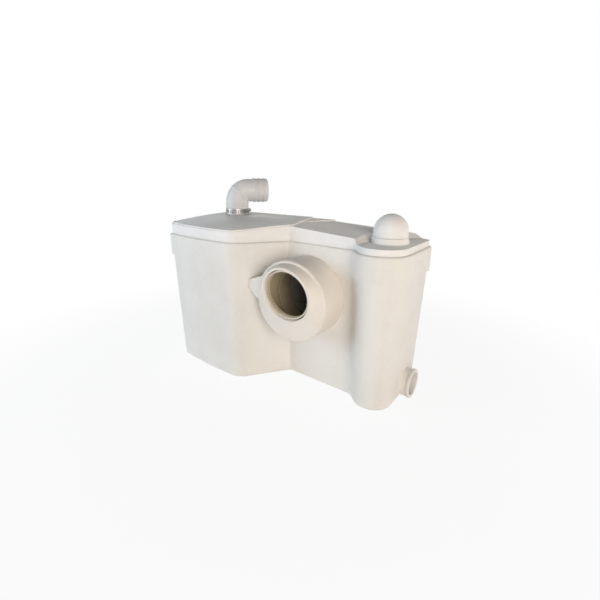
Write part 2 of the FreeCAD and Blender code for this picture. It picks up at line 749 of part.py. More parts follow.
def at_height(height):
    """Picks the edges that lie flat at a height."""
    def test(edge):
        box = edge.BoundBox
        return abs(box.ZMin - height.value) + abs(box.ZMax - height.value) < TOUCH
    return test


def at_depth(place_y):
    """Picks the edges that lie in an upright plane facing the front."""
    def test(edge):
        box = edge.BoundBox
        return abs(box.YMin - place_y.value) + abs(box.YMax - place_y.value) < TOUCH
    return test


def softened(shape, spread):
    """Fillets the valley and the shoulder of an upright shell."""
    valley = upright_near(run(d.valley_run), depth(d.valley_depth), spread)
    shoulder = upright_near(run(d.shoulder_run), depth(d.shoulder_depth), spread)
    return rounded(rounded(shape, d.valley_fillet, valley), d.shoulder_fillet, shoulder)


def make_tank():
    """The moulded tank: drafted shell, collar, ledge, neck, side inlet and bosses."""
    shell = extruded(plan(0), rim - d.collar_height + d.collar_step, taper=d.draft)
    shell = rounded(softened(shell, NEAR_SHELL), d.foot_fillet, at_height(size(0)))
    band = extruded(plan(collar_out), d.collar_height, z=rim - d.collar_height)
    band = rounded(softened(band, NEAR_COLLAR), d.collar_round, at_height(rim))
    neck_root = d.valley_depth - d.tank_skin
    neck = cylinder(
        d.neck_bore + d.neck_skin, d.neck_depth - neck_root,
        inlet_x, depth(neck_root), d.inlet_height, along="-y")
    foot_right = run(d.base_width)
    spigot = cylinder(
        d.side_radius, d.side_reach + d.tank_skin,
        foot_right - d.tank_skin, side_y, d.side_height, along="x")
    bead = cylinder(
        d.side_radius + d.side_bead, d.side_bead_length,
        foot_right + d.side_reach - d.side_bead_length, side_y, d.side_height, along="x")
    cavity = extruded(
        plan(-d.tank_skin), ledge_top - d.ledge_thick - d.tank_skin, taper=d.draft, z=d.tank_skin)
    throat = extruded(plan(ledge_in), d.ledge_drop + d.ledge_thick, z=ledge_top - d.ledge_thick)
    rebate = extruded(plan(land_out), d.ledge_drop, z=ledge_top)
    seat = cylinder(
        d.side_radius, d.flap_seat_reach,
        foot_right - d.tank_skin - d.flap_seat_reach, side_y, d.side_height, along="x")
    neck_hole = cylinder(
        d.neck_bore, d.neck_depth, inlet_x, depth(d.valley_depth / 2), d.inlet_height, along="-y")
    side_hole = cylinder(
        d.side_bore, wide, foot_right - d.side_radius * 2, side_y, d.side_height, along="x")
    gland_hole = cylinder(
        d.gland_radius + d.snug, d.gland_thread * 2, gland_wall() - d.gland_thread,
        depth(d.gland_depth), d.gland_height, along="x")
    hollow = cut(
        fuse(shell, band, neck, spigot, bead), cavity, throat, rebate, neck_hole, gland_hole,
        *pry_hollows())
    return piece(cut(fuse(hollow, seat, *make_tank_fittings()), side_hole), "tank")


def crown(drop):
    """A large level cylinder that curves the lid from front to back."""
    return cylinder(
        d.crown_radius, wide, -wide / 2, d.wall_plane,
        rim + d.crown_rise - drop - d.crown_radius, along="x")


def slope(drop):
    """A large cylinder that falls to the right, for the lid's sloping side."""
    across, along = sine(d.slope_fall), cosine(d.slope_fall)
    level = rim + d.slope_rise - drop
    start = run(d.valley_run) - d.slope_radius * across - wide * along
    base = level - d.slope_radius * along + wide * across
    tool = bind(doc.addObject("Part::Cylinder", "slope"), Radius=d.slope_radius, Height=wide * 2)
    turn = Rotation(Vector(0, 1, 0), 90 + d.slope_fall.value)
    return place(tool, start, d.wall_plane - d.slope_inset, base, turn)


def crease_side(height):
    """Everything to the right of the crease, as a tall block."""
    back = (run(d.crease_back_run), depth(d.back_inset))
    front = (run(d.crease_front_run), depth(d.crease_front_depth))
    lean_run = (back[0] - front[0]) / (back[1] - front[1])
    far = wide / 2
    sketch = draw_outline(doc.addObject("Sketcher::SketchObject", "crease"), [
        (front[0] - lean_run * (front[1] + far), -far), (far, -far), (far, far),
        (back[0] + lean_run * (far - back[1]), far),
    ])
    return extruded(sketch, height * 2, z=rim - height)


def terrace(drop):
    """Tool that sinks the terrace round the vent into the lid's slope."""
    left = vent_x - d.vent_radius - d.terrace_gap
    back = vent_y + d.terrace_back
    right = vent_x + d.vent_radius * 4
    front = vent_y - d.vent_radius * 4
    sketch = draw_outline(doc.addObject("Sketcher::SketchObject", "terrace"), [
        (left, front), (right, front),
        (right, back + tangent(d.terrace_turn) * (right - left)), (left, back, d.terrace_round),
    ])
    level = rim + d.terrace_rise - drop
    tool = extruded(sketch, d.crown_rise, taper=d.ramp_slope, z=level)
    return rounded(tool, d.terrace_foot, at_height(level))


def make_lid():
    """The lift-off lid with its crowned top, sloping shoulder and raised panel."""
    height = d.crown_rise * 2
    dome = common(extruded(plan(lid_out), height, z=lid_foot), crown(0))
    outer = cut(dome, cut(crease_side(height), slope(0)), terrace(0))
    hollow = common(
        extruded(plan(lid_out - d.lid_skin), height + d.lid_skin, z=lid_foot - d.lid_skin),
        crown(d.lid_skin))
    inner = cut(common(hollow, slope(d.lid_skin)), terrace(d.lid_skin))
    region = draw_outline(doc.addObject("Sketcher::SketchObject", "region"), [
        (-wide / 2, depth(0) + d.end_round),
        (-wide / 2, depth(d.base_width)),
        (run(d.panel_front_run), depth(d.base_width)),
        (run(d.panel_front_run), depth(d.valley_depth), d.valley_depth / 2),
        (run(d.panel_back_run), depth(0) + d.end_round),
    ])
    board = common(
        extruded(plan(lid_out - d.panel_inset), height, z=rim + d.lid_skin),
        extruded(region, height, z=rim + d.lid_skin))
    panel = common(board, crown(-d.panel_step))
    vent = cylinder(d.vent_hole, height, vent_x, vent_y, rim)
    outlet = cylinder(d.stub_radius + d.snug, height, riser_x, riser_y, rim)
    return piece(cut(fuse(outer, panel), inner, vent, outlet), "lid")


def make_stub():
    """The outlet stub: a tube through the lid, held by a flange that follows its underside."""
    tall = d.stub_head - d.stub_foot
    flange_foot = rim + d.crown_rise - d.lid_skin - d.flange_depth
    flange = common(
        cylinder(d.stub_flange, tall, riser_x, riser_y, flange_foot), crown(d.lid_skin + d.snug))
    wall = cylinder(d.stub_radius, tall, riser_x, riser_y, d.stub_foot)
    bore = cylinder(d.stub_radius - d.stub_skin, tall, riser_x, riser_y, d.stub_foot)
    groove = tube(
        ring_in - d.snug, wide, ring_foot - d.snug, ring_foot + d.ring_height + d.snug,
        riser_x, riser_y)
    return piece(cut(fuse(wall, flange), bore, groove), "outlet_stub")



def ball(radius, x, y, z):
    return place(bind(doc.addObject("Part::Sphere", "ball"), Radius=radius), x, y, z)


def wall_out(height):
    """How far the drafted wall stands outside its foot at a height."""
    return tangent(d.draft) * height


floor_top = d.tank_skin
pump_foot = floor_top + d.boss_height + d.pad_height
pump_head = pump_foot + d.volute_height
cover_head = pump_head + d.cover_thick
pipe_level = pump_foot + d.volute_height / 2
motor_head = d.motor_height + d.motor_length
bracket_head = d.bell_head
flap_pin_height = d.side_height + d.side_pin_rise


def on_circle(angle, radius):
    """X and Y of a place round the pump's axis."""
    return pump_x + cosine(angle) * radius, pump_y + sine(angle) * radius


def round_the_pump(count, radius, first):
    """Evenly spaced places round the pump's axis, from a first angle off the basket's line."""
    return [on_circle(d.basket_turn + first + i * 360 / count, radius)
            for i in range(int(count.value))]


def make_tank_fittings():
    """Solid parts inside the tank: bosses, the bracket of the level bell and the flap's lugs."""
    fittings = []
    for x, y in round_the_pump(d.pad_count, d.pad_circle, 90):
        fittings.append(cylinder(d.pad_radius, d.boss_height + d.tank_skin / 2, x, y, d.tank_skin / 2))
    back = depth(d.back_inset) + wall_out(bracket_head - d.bracket_height) - d.tank_skin / 2
    bracket = block(
        d.bracket_width, back - bell_y, d.bracket_height,
        bell_x - d.bracket_width / 2, bell_y, bracket_head - d.bracket_height)
    fittings.append(cut(bracket, cylinder(
        d.bell_radius + d.snug, d.bell_head, bell_x, bell_y, bracket_head - d.bell_head)))
    wall = run(d.base_width) - d.tank_skin / 2
    seat = run(d.base_width) - d.tank_skin - d.flap_seat_reach
    pin_x = seat - d.seat_gap - d.side_flap_thick / 2
    for side in (-1, 1):
        y = side_y + side * (d.side_lug_gap + d.side_lug / 2) - d.side_lug / 2
        lug = block(
            wall - pin_x + d.side_lug, d.side_lug, d.side_lug * 2,
            pin_x - d.side_lug, y, flap_pin_height - d.side_lug)
        fittings.append(cut(lug, cylinder(
            d.flap_pin_radius + d.snug, d.side_lug * 3, pin_x, y - d.side_lug, flap_pin_height,
            along="y")))
    return fittings


def pry_hollows():
    """Round tools for the two hollows where the lid is prised up."""
    stand = collar_out + d.pry_radius - d.pry_depth
    front = d.end_depth + d.bulge_step * d.pry_run / d.bulge_run
    return [
        ball(d.pry_radius, run(d.pry_run), depth(front + stand), d.pry_height),
        ball(d.pry_radius, run(d.base_width) + stand, depth(d.pry_wall), d.pry_height),
    ]


def make_seal():
    """The flat rubber seal on the ledge under the lid."""
    outer = extruded(plan(land_out - d.snug), d.seal_thick, z=ledge_top)
    inner = extruded(plan(ledge_in + d.snug), d.seal_thick, z=ledge_top)
    return piece(cut(outer, inner), "lid_seal")


def tank_form(gap):
    """The tank's plain outer form, to trim what stands close to it."""
    foot = rim - d.collar_height
    return [
        extruded(plan(gap), rim, taper=d.draft),
        extruded(plan(collar_out + gap), d.collar_height, z=foot - gap),
    ]


def make_sleeve():
    """The rubber inlet sleeve: a drum on the neck, a leaning mouth off its middle and an ear."""
    back = depth(d.sleeve_back_depth)
    length = d.sleeve_front_depth - d.sleeve_back_depth
    drum = cylinder(d.sleeve_radius, length, inlet_x, back, d.inlet_height, along="-y")
    front = depth(d.sleeve_front_depth)
    drum = rounded(drum, d.sleeve_shoulder, at_depth(front))
    mouth_y = depth(d.mouth_depth)
    mouth_z = d.inlet_height + d.mouth_lift
    inward = sine(d.mouth_tilt) * d.mouth_land, cosine(d.mouth_tilt) * d.mouth_land

    def ring(radius, y, z, turn=90):
        sketch = doc.addObject("Sketcher::SketchObject", "ring")
        draw_circle(sketch, 0, 0, radius)
        return place(sketch, inlet_x, y, z, Rotation(Vector(1, 0, 0), turn))

    lean_turn = 90 + d.mouth_tilt.value
    lip = ring(d.mouth_radius + d.mouth_lip, mouth_y, mouth_z, lean_turn)
    shoulder = ring(d.sleeve_radius - d.sleeve_shoulder, front, d.inlet_height)
    nose = loft(shoulder, lip)
    root = depth(d.neck_depth) - d.seat_gap
    throat_y = mouth_y + inward[1]
    throat_z = mouth_z + inward[0]
    funnel = loft(
        ring(d.neck_bore + d.neck_skin / 2, root, d.inlet_height),
        ring(d.mouth_radius, throat_y, throat_z, lean_turn))
    land = cylinder(d.mouth_radius, d.mouth_land * 2)
    place(land, inlet_x, throat_y, throat_z, Rotation(Vector(1, 0, 0), lean_turn))
    socket = cylinder(
        d.neck_bore + d.neck_skin + d.sleeve_fit, back - root, inlet_x, back, d.inlet_height,
        along="-y")
    pocket_length = length - d.sleeve_web
    pocket_tool = cut(
        cylinder(d.sleeve_pocket_outer, pocket_length, inlet_x, back, d.inlet_height, along="-y"),
        cylinder(d.sleeve_pocket_inner, pocket_length, inlet_x, back, d.inlet_height, along="-y"))
    half = d.ear_width / 2
    ear_sketch = draw_outline(doc.addObject("Sketcher::SketchObject", "ear"), [
        (d.sleeve_pocket_outer, -half),
        (d.ear_reach, -d.ear_tip / 2, d.ear_round),
        (d.ear_reach, d.ear_tip / 2, d.ear_round),
        (d.sleeve_pocket_outer, half),
    ])
    ear = extruded(ear_sketch, d.ear_thick)
    flat = Rotation(Vector(1, 0, 0), 90) * Rotation(Vector(0, 0, 1), d.ear_angle.value)
    place(ear, inlet_x, front + d.sleeve_shoulder + d.ear_thick, d.inlet_height, flat)
    body = cut(fuse(drum, nose, ear), funnel, land, socket, pocket_tool, *tank_form(d.sleeve_gap))
    return piece(body, "inlet_sleeve")


def make_side_flap():
    """The flap inside the side inlet, with its ear and the pin that it hangs on."""
    seat = run(d.base_width) - d.tank_skin - d.flap_seat_reach
    pin_x = seat - d.seat_gap - d.side_flap_thick / 2
    ear = d.side_lug_gap - d.seat_gap
    disc = cylinder(
        d.side_flap_radius, d.side_flap_thick, pin_x - d.side_flap_thick / 2, side_y, d.side_height,
        along="x")
    strap = block(
        d.side_flap_thick, ear, d.side_pin_rise,
        pin_x - d.side_flap_thick / 2, side_y - ear / 2, d.side_height)
    hub = cylinder(
        d.flap_pin_radius * 2, ear * 2, pin_x, side_y - ear, flap_pin_height, along="y")
    hole = cylinder(
        d.flap_pin_radius + d.pin_fit, ear * 2, pin_x, side_y - ear, flap_pin_height, along="y")
    piece(cut(fuse(disc, strap, hub), hole), "side_flap")
    reach = d.side_lug_gap + d.side_lug
    piece(cylinder(d.flap_pin_radius, reach * 2, pin_x, side_y - reach, flap_pin_height, along="y"),
          "side_flap_pin")


def make_pump():
    """The pump's housing with its outlet, the suction cover, the pads and the pillars."""
    wall = d.volute_radius - d.volute_skin
    bowl = turned([
        (0, pump_foot), (d.volute_radius, pump_foot, d.volute_skin), (d.volute_radius, pump_head),
        (wall, pump_head), (wall, pump_foot + d.volute_skin), (0, pump_foot + d.volute_skin),
    ], pump_x, pump_y)
    outlet_y = pump_y + d.outlet_offset
    pipe = cylinder(
        d.outlet_radius, d.outlet_reach, pump_x - d.outlet_reach, outlet_y, pipe_level, along="x")
    chamber = cylinder(
        wall, d.volute_height - d.volute_skin, pump_x, pump_y, pump_foot + d.volute_skin)
    bore = cylinder(
        d.outlet_radius - d.pipe_skin, d.outlet_reach, pump_x - d.outlet_reach, outlet_y, pipe_level,
        along="x")
    piece(cut(fuse(bowl, cut(pipe, chamber)), bore), "volute")
    piece(tube(d.eye_radius, d.volute_radius, pump_head, cover_head, pump_x, pump_y),
          "suction_cover")
    pads = []
    pillars = []
    for x, y in round_the_pump(d.pad_count, d.pad_circle, 90):
        pads.append(cylinder(d.pad_radius, d.pad_height, x, y, floor_top + d.boss_height))
    for i in range(int(d.pillar_count.value)):
        x, y = on_circle(d.basket_turn + 90 * (i + 1), d.pillar_circle)
        pillars.append(cylinder(d.pillar_radius, d.motor_height - cover_head, x, y, cover_head))
    piece(fuse(*pads), "pump_pads")
    piece(fuse(*pillars), "pump_pillars")


def make_basket():
    """The long perforated basket under the inlet, with slots along its sides."""
    body = new_body()
    pad(body, draw_slot(sketch_in(body), d.basket_length, d.basket_radius), d.basket_height)
    rim_low = d.basket_height - d.basket_rim_height
    rim_sketch = sketch_in(body, height=rim_low)
    pad(body, draw_slot(rim_sketch, d.basket_length, d.basket_radius + d.basket_rim),
        d.basket_rim_height)
    inner = sketch_in(body, height=d.basket_skin)
    pocket(body, draw_slot(inner, d.basket_length, d.basket_radius - d.basket_skin),
           d.basket_height, upward=True)
    eye = draw_circle(sketch_in(body), 0, 0, d.basket_eye)
    pocket(body, eye, d.basket_skin, upward=True)
    low = d.basket_sill
    slot = draw_outline(sketch_in(body, "XZ_Plane"), [
        (0, low), (d.slot_width, low),
        (d.slot_width, low + d.slot_height), (0, low + d.slot_height),
    ])
    slots = pocket(body, slot, d.basket_radius * 3, both_ways=True)
    row_pattern(body, [slots], d.slot_pitch * (d.slot_count - 1), d.slot_count)
    turn = Rotation(Vector(0, 0, 1), d.basket_turn.value)
    return piece(place(body, pump_x, pump_y, cover_head, turn), "basket")


def make_impeller():
    """The open impeller: plate, hub and swept vanes."""
    foot = pump_foot + d.volute_skin + d.impeller_gap
    hub_head = cover_head + d.basket_skin + d.cutter_gap
    body = new_body()
    plate_head = foot + d.impeller_plate
    revolve(body, draw_outline(sketch_in(body, "YZ_Plane"), [
        (d.shaft_radius + d.snug, foot), (d.impeller_radius, foot),
        (d.impeller_radius, plate_head), (d.hub_radius, plate_head),
        (d.hub_radius, hub_head), (d.shaft_radius + d.snug, hub_head),
    ]))
    half = d.vane_thick / 2
    slant = tangent(d.vane_turn / 2)
    bend = d.hub_radius + d.vane_bend * slant
    reach = d.impeller_radius - bend - d.vane_thick
    tip_x = bend + reach * cosine(d.vane_turn)
    tip_y = -reach * sine(d.vane_turn)
    across_x = half * sine(d.vane_turn)
    across_y = half * cosine(d.vane_turn)
    root = d.hub_radius - d.vane_thick
    vane = draw_outline(sketch_in(body, height=foot + d.impeller_plate / 2), [
        (root, -half), (bend - half * slant, -half, d.vane_bend - half),
        (tip_x - across_x, tip_y - across_y), (tip_x + across_x, tip_y + across_y),
        (bend + half * slant, half, d.vane_bend + half), (root, half),
    ])
    vanes = pad(body, vane, d.impeller_plate / 2 + d.impeller_height)
    ring_pattern(body, [vanes], d.vane_count)
    return piece(place(body, pump_x, pump_y), "impeller")


def make_rotor():
    """Everything on the motor's shaft but the impeller: shaft, rotor, cutter and its nut."""
    foot = pump_foot + d.volute_skin + d.impeller_gap
    hub_head = cover_head + d.basket_skin + d.cutter_gap
    piece(cylinder(d.shaft_radius, motor_top - d.bearing_wall - foot - d.seat_gap, pump_x, pump_y,
                   foot), "motor_shaft")
    stator_low = d.motor_height + d.stator_foot
    piece(tube(d.shaft_radius + d.snug, d.stator_bore - d.rotor_gap, stator_low,
               stator_low + d.stator_height, pump_x, pump_y), "rotor")
    body = new_body()
    half = d.cutter_width / 2
    pad(body, draw_outline(sketch_in(body), [
        (-d.cutter_radius, -half), (d.cutter_radius, -half, half / 2),
        (d.cutter_radius, half), (-d.cutter_radius, half, half / 2),
    ]), d.cutter_thick)
    for low, high in ((d.cutter_radius - d.cutter_thick, d.cutter_radius),
                      (-d.cutter_radius, d.cutter_thick - d.cutter_radius)):
        pad(body, draw_outline(sketch_in(body), [
            (low, -half / 2), (high, -half / 2), (high, half / 2), (low, half / 2),
        ]), d.cutter_rise)
    bore = draw_circle(sketch_in(body), 0, 0, d.shaft_radius + d.snug)
    pocket(body, bore, d.cutter_rise, upward=True)
    piece(place(body, pump_x, pump_y, hub_head), "cutter")
    nut = bind(doc.addObject("Part::Prism", "nut"), Circumradius=d.nut_radius, Height=d.nut_height)
    place(nut, pump_x, pump_y, hub_head + d.cutter_thick)
    hole = cylinder(
        d.shaft_radius + d.snug, d.nut_height, pump_x, pump_y, hub_head + d.cutter_thick)
    piece(cut(nut, hole), "cutter_nut")


motor_top = motor_head + d.motor_cover_height
flange_out = d.motor_radius + d.motor_flange
flange_low = motor_head - d.motor_flange_thick
bearing_out = d.bearing_radius + d.bearing_wall
bearing_bore = d.bearing_radius + d.snug
low_bearing = d.motor_height + d.motor_flange_thick + d.bearing_wall
high_bearing = motor_top - d.bearing_wall - d.bearing_height


def screw_holes(radius):
    """Tools for the holes of the cover screws."""
    tools = []
    for x, y in round_the_pump(d.screw_count, d.screw_circle, 45):
        tools.append(cylinder(radius, motor_top - flange_low, x, y, flange_low))
    return tools


def make_motor():
    """The motor: housing with the capacitor's cup, cover, stator, bearings, seal and screws."""
    inner = d.motor_radius - d.motor_skin
    floor = d.motor_height + d.motor_flange_thick
    housing = turned([
        (d.seal_radius + d.snug, d.motor_height), (flange_out, d.motor_height),
        (flange_out, floor), (d.motor_radius, floor), (d.motor_radius, flange_low),
        (flange_out, flange_low), (flange_out, motor_head), (inner, motor_head),
        (inner, floor), (bearing_out, floor), (bearing_out, low_bearing + d.bearing_height),
        (bearing_bore, low_bearing + d.bearing_height), (bearing_bore, low_bearing),
        (d.seal_radius + d.snug, low_bearing),
    ], pump_x, pump_y)
    cup_foot = d.motor_height + d.capacitor_foot
    cup_out = d.capacitor_radius + d.cup_skin
    x, y = on_circle(d.capacitor_angle, d.motor_radius + d.capacitor_radius + d.snug)
    cup = cylinder(cup_out, d.cup_height, x, y, cup_foot - d.cup_skin)
    cup_hole = cylinder(d.capacitor_radius + d.snug, d.cup_height, x, y, cup_foot)
    clear = cylinder(inner, d.motor_length, pump_x, pump_y, d.motor_height)
    cup = cut(cup, cup_hole, clear)
    piece(cut(fuse(housing, cup), *screw_holes(d.screw_radius + d.snug)), "motor_housing")
    piece(cylinder(d.capacitor_radius, d.capacitor_length, x, y, cup_foot), "capacitor")
    cap_in = inner - d.motor_cover_height / 2
    roof = motor_top - d.bearing_wall
    cover = turned([
        (0, motor_top), (inner, motor_top, d.bearing_wall), (inner, motor_head + d.bearing_wall),
        (flange_out, motor_head + d.bearing_wall), (flange_out, motor_head),
        (cap_in, motor_head), (cap_in, roof), (bearing_out, roof),
        (bearing_out, high_bearing - d.bearing_wall), (bearing_bore, high_bearing - d.bearing_wall),
        (bearing_bore, roof), (0, roof),
    ], pump_x, pump_y)
    piece(cut(cover, *screw_holes(d.screw_radius + d.snug)), "motor_cover")
    stator_low = d.motor_height + d.stator_foot
    stator_high = stator_low + d.stator_height
    coil_in = d.stator_bore + d.motor_skin
    piece(turned([
        (d.stator_bore, stator_low), (coil_in, stator_low), (coil_in, stator_low - d.coil_height),
        (d.coil_radius, stator_low - d.coil_height), (d.coil_radius, stator_low),
        (inner - d.snug, stator_low), (inner - d.snug, stator_high), (d.coil_radius, stator_high),
        (d.coil_radius, stator_high + d.coil_height), (coil_in, stator_high + d.coil_height),
        (coil_in, stator_high), (d.stator_bore, stator_high),
    ], pump_x, pump_y), "stator")
    shaft_hole = d.shaft_radius + d.shaft_fit
    for low, name in ((low_bearing, "lower_bearing"), (high_bearing, "upper_bearing")):
        piece(tube(shaft_hole, d.bearing_radius, low, low + d.bearing_height, pump_x, pump_y), name)
    piece(tube(shaft_hole, d.seal_radius, low_bearing - d.seal_length, low_bearing,
               pump_x, pump_y), "shaft_seal")
    screws = []
    head_foot = motor_head + d.bearing_wall
    for x, y in round_the_pump(d.screw_count, d.screw_circle, 45):
        screws.append(fuse(
            cylinder(d.screw_radius, head_foot - flange_low, x, y, flange_low),
            cylinder(d.screw_head_radius, d.screw_head_height, x, y, head_foot)))
    piece(fuse(*screws), "motor_cover_screws")


def bend(radius, section, x, y, z, turn):
    """A quarter of a pipe bend; the turn maps its first end onto X and its last onto Y."""
    obj = doc.addObject("Part::Torus", "bend")
    bind(obj, Radius1=radius, Radius2=section, Angle3=90)
    return place(obj, x, y, z, turn)


def make_riser():
    """The discharge pipe: from the pump's outlet round a bend and up to the valve."""
    y = pump_y + d.outlet_offset
    start = pump_x - d.outlet_reach
    corner_x = riser_x + d.riser_bend
    corner_z = pipe_level + d.riser_bend
    upright = Rotation(Vector(0, 0, -1), Vector(-1, 0, 0), Vector(0, 1, 0), "ZXY")

    def pipe(section):
        return fuse(
            cylinder(section, start - corner_x, corner_x, y, pipe_level, along="x"),
            bend(d.riser_bend, section, corner_x, y, corner_z, upright),
            cylinder(section, d.valve_height - corner_z, riser_x, y, corner_z))

    outer = d.outlet_radius + d.coupling_skin
    sleeve = cut(
        cylinder(outer, d.coupling_length, start - d.coupling_length / 2, y, pipe_level, along="x"),
        cylinder(d.outlet_radius + d.snug, d.coupling_length / 2, start, y, pipe_level, along="x"))
    solid = fuse(pipe(d.outlet_radius), sleeve)
    return piece(cut(solid, pipe(d.outlet_radius - d.pipe_skin)), "discharge_riser")


def make_valve():
    """The non-return valve on the riser, with the socket for the outlet stub."""
    y = pump_y + d.outlet_offset
    bore = d.outlet_radius - d.pipe_skin
    fit = d.outlet_radius + d.snug
    foot = d.valve_height
    head = foot + d.valve_length
    seat = foot + d.valve_seat + d.pipe_skin
    mouth = d.stub_radius + d.socket_gap
    neck = head - d.socket_length
    collar = fit + d.coupling_skin
    collar_foot = foot - d.coupling_length
    housing = turned([
        (bore, foot), (bore, seat), (d.valve_bore, seat), (d.valve_bore, neck), (mouth, neck),
        (mouth, head), (d.valve_radius, head), (d.valve_radius, foot + d.pipe_skin, d.pipe_skin),
        (collar, foot), (collar, collar_foot), (fit, collar_foot), (fit, foot),
    ], riser_x, y)
    pin_y = y + d.flap_offset
    pin_z = seat + d.seat_gap + d.flap_pin_radius
    reach = d.flap_pin_length / 2
    hole = cylinder(
        d.flap_pin_radius + d.pin_fit, d.flap_pin_length + d.seat_gap * 2,
        riser_x - reach - d.seat_gap, pin_y, pin_z, along="x")
    piece(cut(housing, hole), "valve_housing")
    disc = cylinder(d.flap_radius, d.flap_thick, riser_x, y, seat + d.seat_gap)
    arm = block(
        d.flap_radius, d.flap_offset, d.flap_thick, riser_x - d.flap_radius / 2, y,
        seat + d.seat_gap)
    pin = cylinder(
        d.flap_pin_radius, d.flap_pin_length, riser_x - reach, pin_y, pin_z, along="x")
    piece(fuse(disc, arm, pin), "check_flap")


def make_elbow():
    """The discharge elbow on the outlet stub: leg, bend and an arm with barbs."""
    outer = d.stub_radius + d.elbow_fit + d.elbow_skin
    corner = d.elbow_height - d.elbow_bend
    turn = Rotation(Vector(0, 0, 1), Vector(-1, 0, 0), Vector(0, -1, 0), "ZXY")
    arm = d.elbow_reach - d.elbow_bend

    def run_of(section, foot):
        return fuse(
            cylinder(section, corner - foot, z=foot),
            bend(d.elbow_bend, section, d.elbow_bend, 0, corner, turn),
            cylinder(section, arm, d.elbow_bend, 0, d.elbow_height, along="x"))

    barbs = []
    for i in range(int(d.barb_count.value)):
        end = d.elbow_reach - i * d.barb_length
        barbs.append(cone(
            outer + d.barb_depth, outer, d.barb_length, end - d.barb_length, 0, d.elbow_height,
            along="x"))
    socket = cylinder(
        d.stub_radius + d.elbow_fit, d.stub_head + d.seat_gap - d.elbow_foot, z=d.elbow_foot)
    body = cut(
        fuse(run_of(outer, d.elbow_foot), *barbs), run_of(d.elbow_bore, d.elbow_foot), socket)
    turned_arm = Rotation(Vector(0, 0, 1), d.elbow_turn.value)
    return piece(place(body, riser_x, riser_y, turn=turned_arm), "discharge_elbow")


def make_clamp():
    """The hose clamp round the elbow's foot: band, screw housing and worm screw."""
    inner = d.stub_radius + d.elbow_fit + d.elbow_skin + d.snug
    outer = inner + d.clamp_thick
    piece(tube(inner, outer, d.clamp_foot, d.clamp_foot + d.clamp_width, riser_x, riser_y),
          "clamp_band")
    level = d.clamp_foot + d.clamp_width / 2
    screw_y = riser_y + outer + d.clamp_thick + d.worm_radius + d.pin_fit
    wall = d.worm_radius + d.pin_fit + d.clamp_thick
    box = cylinder(
        wall, d.worm_housing, riser_x - d.worm_housing / 2, screw_y, level, along="x")
    foot = block(
        d.worm_housing, screw_y - riser_y, wall * 2, riser_x - d.worm_housing / 2, riser_y,
        level - wall)
    saddle = cylinder(outer + d.snug, d.clamp_width * 2, riser_x, riser_y, level - d.clamp_width)
    hole = cylinder(
        d.worm_radius + d.pin_fit, d.worm_length * 2, riser_x - d.worm_length, screw_y, level,
        along="x")
    piece(cut(fuse(box, foot), saddle, hole), "clamp_housing")
    start = riser_x - d.worm_length / 2
    head_start = start - d.worm_head_length
    shank = cylinder(d.worm_radius, d.worm_length, start, screw_y, level, along="x")
    head = cylinder(
        d.worm_head_radius, d.worm_head_length, head_start, screw_y, level, along="x")
    slot = block(
        d.worm_head_length, d.clamp_thick, d.worm_head_radius * 2,
        start - d.worm_head_length * 1.5, screw_y - d.clamp_thick / 2, level - d.worm_head_radius)
    piece(cut(fuse(shank, head), slot), "clamp_screw")


def make_stub_ring():
    """The sealing ring in the groove of the outlet stub."""
    return piece(
        tube(ring_in, ring_out, ring_foot, ring_foot + d.ring_height, riser_x, riser_y), "stub_ring")


def make_vent():
    """The air vent on the terrace: foot, filter, disc and domed cap."""
    floor = rim + d.terrace_rise
    wall = d.vent_floor - d.vent_spigot
    head = d.vent_foot_height
    inner = d.vent_cap_radius - d.vent_skin
    register = inner - d.seat_gap
    well = register - d.vent_skin
    chimney = d.vent_throat + d.vent_skin
    top = head + d.vent_chimney
    piece(turned([
        (d.vent_throat, -d.vent_spigot), (d.vent_hole - d.snug, -d.vent_spigot),
        (d.vent_hole - d.snug, 0), (d.vent_radius, 0), (d.vent_radius, d.vent_skin),
        (d.vent_radius - d.vent_flare, head), (register, head), (register, head + d.vent_register),
        (well, head + d.vent_register), (well, d.vent_floor), (chimney, d.vent_floor),
        (chimney, top), (d.vent_throat, top),
    ], vent_x, vent_y, floor), "vent_base")
    piece(tube(chimney + d.snug, well - d.snug, d.vent_floor, head + d.vent_register,
               vent_x, vent_y, floor), "vent_filter")
    low = top + d.seat_gap
    piece(turned([
        (0, low - d.vent_chimney), (d.vent_stem, low - d.vent_chimney), (d.vent_stem, low),
        (d.vent_disc_radius, low), (d.vent_disc_radius, low + d.vent_disc_thick),
        (0, low + d.vent_disc_thick),
    ], vent_x, vent_y, floor), "vent_disc")
    foot = head + d.seat_gap
    roof = foot + d.vent_cap_height
    middle = floor + roof - d.vent_cap_radius
    outside = fuse(
        cylinder(d.vent_cap_radius, middle - floor - foot, vent_x, vent_y, floor + foot),
        ball(d.vent_cap_radius, vent_x, vent_y, middle))
    inside = fuse(
        cylinder(inner, middle - floor, vent_x, vent_y, floor),
        ball(inner, vent_x, vent_y, middle))
    below = cylinder(d.vent_cap_radius * 2, foot + d.vent_cap_radius, vent_x, vent_y,
                     floor - d.vent_cap_radius)
    piece(cut(outside, inside, below), "vent_cap")


